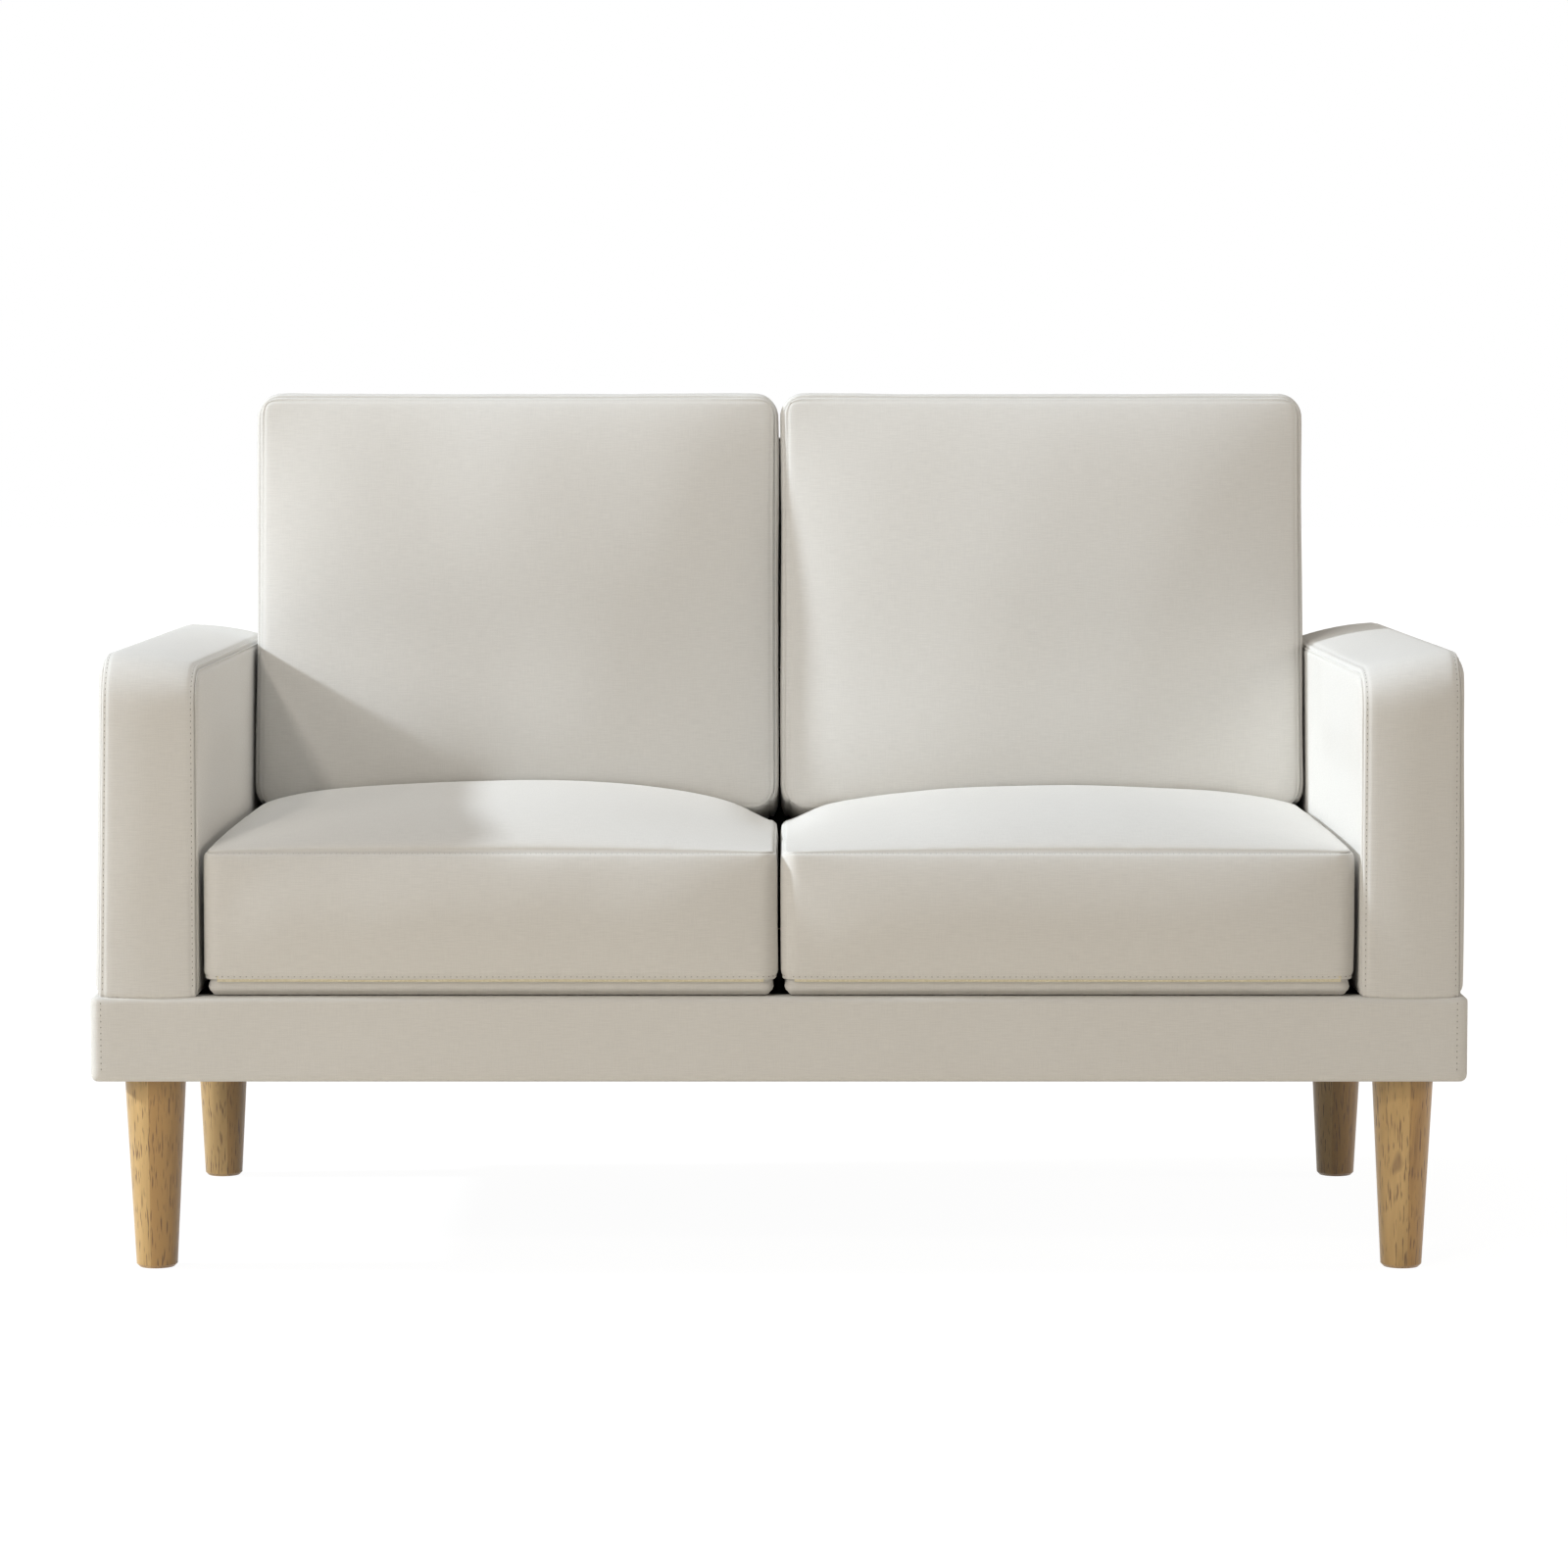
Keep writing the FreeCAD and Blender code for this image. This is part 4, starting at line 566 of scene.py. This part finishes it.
foam_finish = Finish("upholstery_foam", Roughness=0.92)
fx, fy, fz = foam_finish.place()
cells = foam_finish.noise(foam_finish.vector(fx * 420, fy * 420, fz * 420), 3.0, 0.6)
foam_finish.feed("Base Color", foam_finish.ramp(cells, [(0.3, (0.70, 0.63, 0.45)),
                                                        (0.7, (0.86, 0.80, 0.62))]))
foam_finish.bump(cells, 0.0012, 0.5)
upholstery_foam = foam_finish.material
# The padding's swell on the front and the top, on the outer side, and on the inner one; this
# last only in front of the back cushion and above the seat
ARM_DOME, ARM_SIDE_SWELL, ARM_INNER_SWELL = 0.007, 0.006, 0.0055
CUSHION_FRONT_Y, SEAT_HIGH = 0.05, 0.475
# How much narrower each arm is at its top, and how far the top slants up outwards: about a
# line this share of its width from the inside, from this share of its height up
ARM_TAPER = {"left": 0.006, "right": 0.001}
ARM_TILT = {"left": 0.012, "right": 0.018}
TILT_ABOUT, TILT_FROM = 0.62, 0.70
WRAP_GAP = 0.0045
for side_name, side in SIDES:
    low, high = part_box(f"arm_cover_{side_name}")
    arm_long = high[1] - low[1] - ARM_DOME
    arm_tall = high[2] - low[2] - ARM_DOME
    inner_x = min(abs(low[0]), abs(high[0]))
    outer_x = max(abs(low[0]), abs(high[0]))
    middle_y = low[1] + ARM_DOME + arm_long / 2
    middle_z = low[2] + arm_tall / 2
    arm_deep = outer_x - inner_x - ARM_SIDE_SWELL

    def arm_place(p):
        """(a, b, c) to the arm: a to the rear, b up, c from the inner panel outwards."""
        share = (p[:, 1] + arm_tall / 2) / arm_tall
        deep = p[:, 2] / arm_deep * (arm_deep - ARM_TAPER[side_name] * np.clip(share, 0, 1))
        deep = np.where(p[:, 2] < 0, p[:, 2], deep)
        raised = ARM_TILT[side_name] * (np.clip(p[:, 2] / arm_deep, 0, 1) - TILT_ABOUT)
        raised = raised * np.clip((share - TILT_FROM) / (1 - TILT_FROM), 0, 1) ** 2
        return np.column_stack([side * (inner_x + deep), middle_y + p[:, 0],
                                middle_z + p[:, 1] + raised])

    def outer_panel(a, b, u, v, edge):
        lift = ARM_SIDE_SWELL * (1 - np.exp(-edge / 0.012)) + ripples(a, b, 5 + side, 0.30, 0.0008)
        return np.minimum(lift, ARM_SIDE_SWELL) * (1 - np.exp(-edge / 0.005))

    def inner_panel(a, b, u, v, edge):
        """Swells into the seat's space, in front of the back cushion and over the seat."""
        ahead = smooth((CUSHION_FRONT_Y - (a + middle_y)) / 0.10)
        above = smooth((b + middle_z - SEAT_HIGH) / 0.05)
        return ARM_INNER_SWELL * ahead * above * (1 - np.exp(-edge / 0.025))

    def arm_strip(distance, spot, normal, share):
        """Padded: domed along the front and the top, flat at the foot and the rear."""
        amount = math.hypot(max(0.0, -normal[0]), max(0.0, normal[1]))
        dome = ARM_DOME * amount * math.sin(math.pi * share) ** 0.45
        wave = ripples(spot[0], spot[1] + share * 0.05, 21 + side, 0.20, 0.0008)
        return dome + min(0.0, wave - 0.0004) * amount * math.sin(math.pi * share)

    # Radii: foot front, foot rear, heel, nose
    obj, rings = boxed(f"arm_upholstery_{side_name}", (arm_long, arm_tall), arm_deep,
                       (0.003, 0.003, 0.014, 0.042), linen_cloth, "frame", arm_place,
                       front=outer_panel, rear=inner_panel, strip=arm_strip)
    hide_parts(f"arm_cover_{side_name}")
    wrap = boxed(
        f"arm_wrap_{side_name}", (arm_long - 2 * WRAP_GAP, arm_tall - 2 * WRAP_GAP),
        arm_deep - 2 * WRAP_GAP, (0.003, 0.003, 0.012, 0.038), upholstery_foam, "frame",
        lambda p: arm_place(p + (0, 0, WRAP_GAP)), coarse=0.03, front=outer_panel,
        rear=inner_panel, strip=arm_strip, strip_rows=0.02)[0]
    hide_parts(f"arm_foam_{side_name}")

    def above_foot(spot):
        return spot[2] > low[2] + 0.004

    thread = stitched(f"arm_topstitch_{side_name}", obj,
                      [rings["strip_front"], rings["strip_rear"], rings["rear"]], "frame",
                      above_foot)

# Back: posts and rails between the arms, strapped and padded, under one fitted cover that is
# seamed round its rear panel. Below, behind the cushions, it is closed with black lining,
# whose black also serves as painted shade deep in the gap between the back cushions.
back_low, back_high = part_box("back_cover")
back_wide = back_high[0] - back_low[0]
back_tall = back_high[2] - back_low[2]
back_deep = 0.070
back_rear_foot = 0.338
back_lean = (back_high[1] - back_rear_foot) / back_tall
lining_high = 0.560
lining_lap = 0.018
back_swell = 0.0014


def back_rear(z):
    """Depth of the back's rear face at a height."""
    return back_rear_foot + back_lean * (z - back_low[2])


def back_place(p):
    """(a, b, c) to the back: a to the side, b up, c from its rear face forwards."""
    z = back_low[2] + p[:, 1] + back_tall / 2
    return np.column_stack([p[:, 0], back_rear(z) - p[:, 2], z])


def rounded_top(b, drop):
    """How far a panel falls back as it nears the back's top edge."""
    return -drop * np.exp(-np.clip(back_tall / 2 - b, 0, 1) / 0.006)


def back_front_panel(a, b, u, v, edge):
    """Lies lower where the lining closes it, so that the lining is flush."""
    behind_lining = ((b < lining_high - back_low[2] - back_tall / 2)
                     & (abs(u) * back_wide / 2 < back_wide / 2 - lining_lap))
    return np.where(behind_lining, -back_swell, 0) + rounded_top(b, 0.0060)


def back_rear_panel(a, b, u, v, edge):
    eased = 1 - np.exp(-edge / 0.03)
    return (back_swell + ripples(a, b, 31, 0.45, 0.0008)) * eased + rounded_top(b, 0.0050)


def back_strip(distance, spot, normal, share):
    return min(0.0, ripples(spot[0], spot[1] + share * 0.07, 33, 0.3, 0.0005) - 0.0003)


# Radii: foot left, foot right, top right, top left
obj, rings = boxed("back_upholstery", (back_wide, back_tall), back_deep,
                   (0.003, 0.003, 0.008, 0.008), linen_cloth, "frame", back_place,
                   coarse=0.016, front=back_front_panel, rear=back_rear_panel,
                   strip=back_strip)
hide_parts("back_cover")
thread = stitched("back_topstitch", obj, [rings["rear"]], "frame")

# Partly painted shade: the lining's near-black also stands for the deep shade in the gap between
# the back cushions
lining_and_gap_shade = Finish("black_lining_and_gap_shade", Roughness=0.9)
lx, ly, lz = lining_and_gap_shade.place()
fibres = lining_and_gap_shade.noise(lining_and_gap_shade.vector(lx * 300, ly * 300, lz * 300), 3.0, 0.7)
lining_and_gap_shade.feed("Base Color", lining_and_gap_shade.ramp(
    fibres, [(0.3, (0.012, 0.012, 0.013)), (0.7, (0.035, 0.034, 0.036))]))
lining_and_gap_shade.bump(fibres, 0.0005, 0.6)


def cloth_sheet(name, first, second, height, thickness, place):
    """A thin stapled cloth with its two faces and its edges."""
    fa, sb = np.meshgrid(first, second, indexing="ij")
    top = place(fa.ravel(), sb.ravel(), height(fa, sb).ravel() + thickness / 2)
    under = place(fa.ravel(), sb.ravel(), height(fa, sb).ravel() - thickness / 2)
    nf, ns = len(first), len(second)
    count = nf * ns
    faces = []
    for i in range(nf - 1):
        for j in range(ns - 1):
            k = i * ns + j
            faces.append((k, k + ns, k + ns + 1, k + 1))
            faces.append((count + k, count + k + 1, count + k + ns + 1, count + k + ns))
    rim = ([i * ns for i in range(nf)] + [(nf - 1) * ns + j for j in range(1, ns)]
           + [i * ns + ns - 1 for i in range(nf - 2, -1, -1)] + [j for j in range(ns - 2, 0, -1)])
    for i, k in enumerate(rim):
        after = rim[(i + 1) % len(rim)]
        faces.append((k, count + k, count + after, after))
    obj = mesh_piece(name, np.vstack([top, under]), faces, lining_and_gap_shade.material, "frame",
                     closed=True)
    return obj


def behind_cushions(a, b, c):
    """Just in front of the back's front panel, b above its foot."""
    front = back_rear(back_low[2] + b) - back_deep
    return np.column_stack([a, front + 0.0009 - c, back_low[2] + b])


lining_half = back_wide / 2 - lining_lap
lining = cloth_sheet("back_lining_cloth", np.linspace(-lining_half, lining_half, 61),
                     np.linspace(0.002, lining_high - back_low[2], 18), lambda a, b: 0 * a,
                     0.0004, behind_cushions)
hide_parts("back_lining")

# Seat deck and dust cover: black non-woven cloth stapled over the webbing, where the straps
# print through a little, and another stretched across the underside of the base.
deck_low, deck_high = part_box("deck_cloth")
strap_pitch, cross_pitch = 0.140, 0.105
deck_sag = 0.0030


def level_place(a, b, c):
    return np.column_stack([a, b, c])


def deck_height(a, b):
    """Held up along the straps and sagging in the squares between them."""
    middle = (deck_low[1] + deck_high[1]) / 2
    between = (0.5 + 0.5 * np.cos(a / strap_pitch * math.tau)) ** 3
    between = between * (0.5 - 0.5 * np.cos((b - middle) / cross_pitch * math.tau)) ** 3
    return deck_high[2] - 0.0004 - deck_sag * between


deck = cloth_sheet("seat_deck_cloth", np.linspace(deck_low[0], deck_high[0], 91),
                   np.linspace(deck_low[1], deck_high[1], 45), deck_height, 0.0005, level_place)
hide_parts("deck_cloth")
dust_low, dust_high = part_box("dust_cover")


def dust_height(a, b):
    """Flat where it is stapled, slightly creased further in."""
    inwards = np.minimum(np.minimum(dust_high[0] - abs(a), b - dust_low[1]), dust_high[1] - b)
    crease = ripples(a, b, 51, 0.25, 0.0006)
    return (dust_low[2] + dust_high[2]) / 2 + np.clip(inwards / 0.08, 0, 1) * (0.0010 + crease)


dust = cloth_sheet("base_dust_cloth", np.linspace(dust_low[0], dust_high[0], 91),
                   np.linspace(dust_low[1], dust_high[1], 45), dust_height, 0.0006, level_place)
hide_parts("dust_cover")

# Seat cushions: foam cores in fibre under boxed covers. The strip stands 12.5 cm high, with a
# corded seam above and a topstitched one below. The top is crowned and sinks under the back
# cushion, and the bottom panel turns up a little at its edges.
seat_seam_top = 0.411
seat_seam_low = 0.2855
seat_swell = 0.003
front_swell = 0.015
seat_crowns = {"left": 0.0400, "right": 0.0335}
under_turn = seat_seam_low - 0.2716
# Where the back cushion's slanting underside begins to press on the seat
press_y, press_z = 0.1510, 0.4110
press_slope = math.tan(math.radians(13))
# The back cushion's front panel, which the seat's top touches: its foot, its head, how far it
# is domed and how that falls off, and which way its swell points
foot_front_y, foot_front_z = 0.1512, 0.4118
head_front_y, head_rear_y, head_z = 0.2138, 0.3133, 0.8490
pad_tall = math.hypot(head_front_y - foot_front_y, head_z - foot_front_z)
back_crown = 0.044
foot_power = 6.0
dome_power = 0.68
pad_ahead, pad_up = 0.99, 0.14
pad_lean = 0.1416
pad_clearance = 0.0034
# Where the two seats meet, their tops sink towards the rear: how far, over what width, from
# what depth on and over what length
sink, sink_width, sink_from, sink_length = 0.012, 0.034, -0.26, 0.34


def rolled(distance, run):
    """How far a strip has swelled out at a distance from its seam: a quarter ellipse."""
    share = min(1.0, max(0.0, distance / run))
    return math.sqrt(1 - (1 - share) ** 2)


def room_under_pad(y, u):
    """Height up to which the seat may rise at a depth, close under the back cushion's dome."""
    rise = 0 * y
    for _ in range(4):
        ahead = np.clip(foot_front_y - y + pad_lean * rise, 0, 1)
        most = back_crown * np.clip(1 - u * u, 0.0001, 1) ** dome_power
        share = np.clip(ahead / most, 0, 0.999) ** (1 / dome_power)
        rise = (1 - (1 - share) ** (1 / foot_power)) * pad_tall / 2
    return foot_front_z + pad_ahead * rise + pad_up * ahead - pad_clearance


def gathers(along, seed):
    """Small uneven puckers along a seam."""
    rng = np.random.default_rng(seed)
    total = 0 * along
    for wave in (0.011, 0.015, 0.021, 0.029, 0.041):
        total = total + np.sin(along * math.tau / wave + rng.uniform(0, math.tau))
    patches = 0.55 + 0.45 * np.sin(along * math.tau / 0.17 + rng.uniform(0, math.tau))
    return total / 2.2 * patches


def puckers(a, b, u, v, edge, size, apart, seed, amount):
    """Gathers that run in from whichever of a panel's seams is nearest, and die out; apart
    keeps those of its sides unlike those of its foot and head."""
    by_side = (1 - abs(u)) * size[0] < (1 - abs(v)) * size[1]
    along = np.where(by_side, b + apart, a)
    return gathers(along, seed) * amount * np.exp(-edge / 0.016) * np.clip(edge / 0.006, 0, 1)


for side_name, side in SIDES:
    body = f"seat_cushion_{side_name}"
    low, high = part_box(f"seat_cushion_cover_{side_name}")
    seat_wide = high[0] - low[0] - 2 * seat_swell
    seat_long = high[1] - low[1] - front_swell
    middle_x = (low[0] + high[0]) / 2
    middle_y = low[1] + front_swell + seat_long / 2
    strip_deep = seat_seam_top - seat_seam_low
    seed = 60 + side

    def seat_place(p):
        """(a, b, c) to the seat: c counts from the lower seam up. Pressed under the back
        cushion, and sunk a little where the two cushions meet at the rear."""
        y = middle_y + p[:, 1]
        u = p[:, 0] / (seat_wide / 2)
        limit = np.where(y > press_y, press_z - 0.0009 - press_slope * (y - press_y),
                         room_under_pad(y, np.clip(u, -1, 1)))
        seam_z = np.minimum(seat_seam_top, limit)
        strip_part = np.clip(p[:, 2], 0, strip_deep) * (seam_z - seat_seam_low) / strip_deep
        crown_part = np.clip(p[:, 2] - strip_deep, 0, 1)
        room = np.maximum(limit - seam_z, 0) + 0.0001
        soft = 0.003
        crown_part = -soft * np.log(np.exp(-crown_part / soft) + np.exp(-room / soft)
                                    - np.exp(-(crown_part + room) / soft))
        inner = seat_wide / 2 + side * p[:, 0]
        sunk = sink * np.exp(-(inner / sink_width) ** 2) * smooth((y - sink_from) / sink_length)
        sunk = sunk * np.clip(p[:, 2] / strip_deep, 0, 1) ** 2
        z = seat_seam_low + np.minimum(p[:, 2], 0) + strip_part + crown_part - sunk
        return np.column_stack([middle_x + p[:, 0], y, z])

    def seat_top(a, b, u, v, edge):
        """Crowned: falls off gently towards the middle of the settee, fuller by the arm."""
        crosswise = 0.76 - 0.24 * np.clip(side * u / 0.3, -1, 1)
        dome = (np.clip(1 - u * u, 0, 1) ** crosswise
                * np.clip(1 - np.abs(v) ** 2.4, 0, 1) ** 0.53)
        return (seat_crowns[side_name] * dome
                + puckers(a, b, u, v, edge, (seat_wide, seat_long), 0.7, seed, 0.00055)
                + ripples(a, b, seed, 0.24, 0.0016) * (1 - np.exp(-edge / 0.05)))

    def seat_under(a, b, u, v, edge):
        share = np.clip(1 - edge / 0.012, 0, 1)
        return under_turn * np.sqrt(np.clip(1 - share * share, 0, 1))

    def seat_strip(distance, spot, normal, share):
        """Softly uneven all round, and proud in the middle of the front."""
        near = min(share, 1 - share)
        fullness = rolled(near * strip_deep, 0.020)
        front = max(0.0, -normal[1]) ** 2
        ends = 1 - abs(spot[0] / (seat_wide / 2)) ** 5
        proud = (front_swell - seat_swell) * front * ends * math.sin(math.pi * share) ** 0.8
        wave = ripples(distance, share * 0.12, seed + 5, 0.19, 0.0009)
        pucker = gathers(distance, seed + 9) * 0.0004 * math.exp(-near * 0.12 / 0.012)
        return min(fullness * (seat_swell * 0.9 + wave) + pucker, seat_swell) + proud

    # Radii: front left, front right, rear right, rear left
    obj, rings = boxed(f"{body}_upholstery", (seat_wide, seat_long), strip_deep,
                       (0.015, 0.015, 0.022, 0.022), linen_cloth, body, seat_place,
                       pull=0.0006, coarse=0.010, front=seat_top, rear=seat_under,
                       strip=seat_strip, strip_rows=0.009, front_dip=plain_dip)
    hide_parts(f"seat_cushion_cover_{side_name}")
    thread = stitched(f"{body}_topstitch", obj, [rings["strip_rear"]], body)
    thread = stitched(f"{body}_seam_cord", obj, [rings["seam"]], body, pitch=0.0052,
                      length=0.0042, width=0.0042, height=0.0026)

# Back cushions: tall boxed pads of fibre, deeper at the foot, that lean on the back. The front
# panel is domed, and the narrow strip is topstitched just behind its seam.
heel_y, heel_z = 0.2763, 0.3826
pad_deep = 0.100
pad_swell = 0.004
# How much further each cushion reaches towards the other than its solid does
pad_closer = 0.0010
for side_name, side in SIDES:
    body = f"back_cushion_{side_name}"
    low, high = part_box(f"back_cushion_cover_{side_name}")
    pad_wide = high[0] - low[0] - 2 * pad_swell + pad_closer
    middle_x = (low[0] + high[0] - side * pad_closer) / 2
    seed = 80 + side

    def pad_place(p):
        """b runs up the cushion between its slanting foot and its head, c from its rear."""
        share = (p[:, 1] + pad_tall / 2) / pad_tall
        depth = np.clip(p[:, 2] / pad_deep, 0, 1)
        front_y = foot_front_y + (head_front_y - foot_front_y) * share
        front_z = foot_front_z + (head_z - foot_front_z) * share
        rear_y = heel_y + (head_rear_y - heel_y) * share
        rear_z = heel_z + (head_z - heel_z) * share
        proud = p[:, 2] - np.clip(p[:, 2], 0, pad_deep)
        y = rear_y + (front_y - rear_y) * depth - proud * pad_ahead
        z = rear_z + (front_z - rear_z) * depth + proud * pad_up
        return np.column_stack([middle_x + p[:, 0], y, z])

    def pad_front(a, b, u, v, edge):
        """Domed, fuller towards the foot, and more puckered at its lower corners."""
        upright = np.abs(v) ** np.where(v < 0, foot_power, 2.0)
        dome = np.clip((1 - u * u) * (1 - upright), 0, 1) ** dome_power
        amount = 0.0006 * (0.4 + np.exp(-((b + pad_tall / 2) / 0.07) ** 2))
        return (back_crown * dome
                + puckers(a, b, u, v, edge, (pad_wide, pad_tall), 0.9, seed, amount)
                + ripples(a, b, seed, 0.26, 0.0018) * (1 - np.exp(-edge / 0.05)))

    def pad_strip(distance, spot, normal, share):
        """Swells a little at the top and the sides; its foot lies flat on the seat."""
        fullness = rolled(min(share, 1 - share) * pad_deep, 0.014)
        wave = ripples(distance, share * 0.1, seed + 5, 0.17, 0.0006)
        out = min(fullness * (pad_swell - 0.0003 + wave), pad_swell)
        return out if normal[1] > -0.6 else 0.0

    # Radii: foot left, foot right, head right, head left
    obj, rings = boxed(f"{body}_upholstery", (pad_wide, pad_tall), pad_deep,
                       (0.028, 0.028, 0.022, 0.022), linen_cloth, body, pad_place,
                       pull=0.0008, coarse=0.010, front=pad_front, strip=pad_strip,
                       strip_rows=0.010)
    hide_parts(f"back_cushion_cover_{side_name}")
    thread = stitched(f"{body}_topstitch", obj, [rings["strip_front"]], body)

# Inside: sawn softwood rails, posts and blocks, plywood arm panels, foam, elastic webbing and
# zinc-plated fittings, all hidden until the cushions or the covers come off.
def timber(name, pale, dark, stretch):
    """Rough-sawn wood whose grain runs along the axis with the small stretch."""
    wood = Finish(name, Roughness=0.7)
    x, y, z = wood.place()
    grain = wood.noise(wood.vector(x * stretch[0], y * stretch[1], z * stretch[2]), 4.0, 0.6)
    wood.feed("Base Color", wood.ramp(grain, [(0.35, dark), (0.65, pale)]))
    wood.feed("Roughness", 0.62 + grain * 0.2)
    wood.bump(grain, 0.0006, 0.5)
    return wood.material


SOFTWOOD = ((0.66, 0.49, 0.29), (0.47, 0.31, 0.16))
along_x = timber("softwood_along", *SOFTWOOD, (4, 160, 160))
along_y = timber("softwood_across", *SOFTWOOD, (160, 4, 160))
along_z = timber("softwood_upright", *SOFTWOOD, (160, 160, 4))
ply = timber("plywood", (0.60, 0.44, 0.27), (0.44, 0.30, 0.17), (60, 8, 90))


def speckled(name, pale, dark, scale, rough, distance, metal=0.0):
    """A plain surface with a fine grain, scale being how fine and distance how deep."""
    finish = Finish(name, Roughness=rough, Metallic=metal)
    x, y, z = finish.place()
    grain = finish.noise(finish.vector(x * scale, y * scale, z * scale), 3.0, 0.6)
    finish.feed("Base Color", finish.ramp(grain, [(0.3, dark), (0.7, pale)]))
    finish.feed("Roughness", rough - 0.08 + grain * 0.16)
    finish.bump(grain, distance, 0.5)
    return finish.material


elastic = speckled("elastic_webbing", (0.16, 0.13, 0.10), (0.07, 0.06, 0.05), 700, 0.85, 0.0008)
zinc = speckled("zinc_plate", (0.66, 0.67, 0.68), (0.50, 0.51, 0.52), 130, 0.36, 0.0002, 1.0)
nylon = speckled("glide_nylon", (0.05, 0.05, 0.05), (0.03, 0.03, 0.03), 500, 0.5, 0.0002)
INSIDE = (
    (along_x, ("base_front_rail", "base_rear_rail", "back_bottom_rail", "back_top_rail")),
    (along_y, ("base_side_rail_left", "base_side_rail_right", "base_centre_rail",
               "arm_bottom_rail_left", "arm_bottom_rail_right", "arm_top_rail_left",
               "arm_top_rail_right", "arm_bolt_blocks")),
    (along_z, ("corner_block_front_left", "corner_block_front_right",
               "corner_block_rear_left", "corner_block_rear_right", "arm_front_post_left",
               "arm_front_post_right", "arm_rear_post_left", "arm_rear_post_right",
               "back_post_left", "back_post_centre", "back_post_right")),
    (ply, ("arm_board_left", "arm_board_right")),
    (upholstery_foam, ("base_padding", "back_padding", "seat_foam_left", "seat_foam_right",
                       "back_fill_left", "back_fill_right")),
    (elastic, ("seat_webbing_lengthwise", "seat_webbing_crosswise", "back_webbing")),
    (zinc, ("leg_plates", "leg_plate_screws", "hanger_bolts", "arm_bolts", "arm_tee_nuts",
            "back_hooks", "arm_sockets")),
    (nylon, ("leg_glides",)),
)
for material, names in INSIDE:
    for name in names:
        cover(nodes[name], material)

# Studio: a plain white floor and backdrop. The key light stands far off to the left, two
# softer ones in front on the same side, a small one overhead and a weak one on the right, and
# there is a faint warm light all round.
def seen_directly(recipe):
    """One where a ray comes from the camera, or from a glossy or clear surface."""
    camera_ray, glossy_ray, clear_ray = [
        recipe.node("ShaderNodeLightPath", {}, {}, f"Is {kind} Ray")
        for kind in ("Camera", "Glossy", "Transmission")]
    return camera_ray.larger(glossy_ray).larger(clear_ray)


floor_finish = Finish("studio_floor")
floor_finish.tree.nodes.remove(floor_finish.shader)
white = floor_finish.node("ShaderNodeEmission", {}, {"Color": (1, 1, 1, 1), "Strength": 1.1})
pale = floor_finish.node("ShaderNodeBsdfDiffuse", {}, {"Color": (0.90, 0.90, 0.89, 1)})
dull = floor_finish.node("ShaderNodeBsdfDiffuse", {}, {"Color": (0.84, 0.77, 0.67, 1)})
floor_x, floor_y = floor_finish.place()[:2]
near_object = floor_finish.node(
    "ShaderNodeTexGradient", {"gradient_type": "SPHERICAL"},
    {"Vector": floor_finish.vector(floor_x * 0.5, floor_y * 0.5)})
shown = floor_finish.node("ShaderNodeMixShader", {},
                          {0: 1 - near_object.smaller(0.5) * 0.24, 1: pale, 2: white})
chosen = floor_finish.node("ShaderNodeMixShader", {},
                           {0: seen_directly(floor_finish), 1: dull, 2: shown})
floor_finish.tree.links.new(chosen.socket,
                            floor_finish.tree.nodes["Material Output"].inputs["Surface"])
floor_data = bpy.data.meshes.new("studio_floor")
half = 30.0
floor_data.from_pydata([(-half, -half, 0), (half, -half, 0), (half, half, 0), (-half, half, 0)],
                       [], [(0, 1, 2, 3)])
floor = bpy.data.objects.new("studio_floor", floor_data)
bpy.context.collection.objects.link(floor)
cover(floor, floor_finish.material)

world = bpy.data.worlds.new("studio")
bpy.context.scene.world = world
world.use_nodes = True
sky = Recipe(world.node_tree)
sky.tree.nodes.remove(sky.tree.nodes["Background"])
ambient = sky.node("ShaderNodeBackground", {}, {"Color": (1.0, 0.90, 0.78, 1), "Strength": 0.11})
backdrop = sky.node("ShaderNodeBackground", {}, {"Color": (1, 1, 1, 1), "Strength": 1.0})
chosen = sky.node("ShaderNodeMixShader", {}, {0: seen_directly(sky), 1: ambient, 2: backdrop})
sky.tree.links.new(chosen.socket, sky.tree.nodes["World Output"].inputs["Surface"])


def lamp(name, heading, distance, size, power, colour=(1, 1, 1)):
    """A round soft light that shines along a heading onto the middle of the settee."""
    light = bpy.data.lights.new(name, "AREA")
    light.shape = "DISK"
    light.size = size
    light.energy = power
    light.color = colour
    obj = bpy.data.objects.new(name, light)
    travel = Vector(heading).normalized()
    obj.location = Vector((0, 0, 0.5)) - travel * distance
    obj.rotation_euler = travel.to_track_quat("-Z", "Y").to_euler()
    bpy.context.collection.objects.link(obj)


lamp("key", (0.88, 0.028, -0.47), 14.0, 1.0, 1500, (0.84, 0.92, 1.0))
lamp("window", (0.62, 0.75, -0.28), 8.0, 3.0, 95, (1.0, 0.94, 0.86))
lamp("second", (0.36, 0.75, -0.56), 12.0, 1.2, 215, (1.0, 0.935, 0.85))
lamp("overhead", (0.1, 0.1, -1.0), 3.5, 2.4, 38, (0.93, 0.97, 1.0))
lamp("fill", (-0.95, 0.0, -0.3), 8.0, 2.5, 120, (1.0, 0.93, 0.84))

bpy.context.scene.view_settings.view_transform = "Standard"
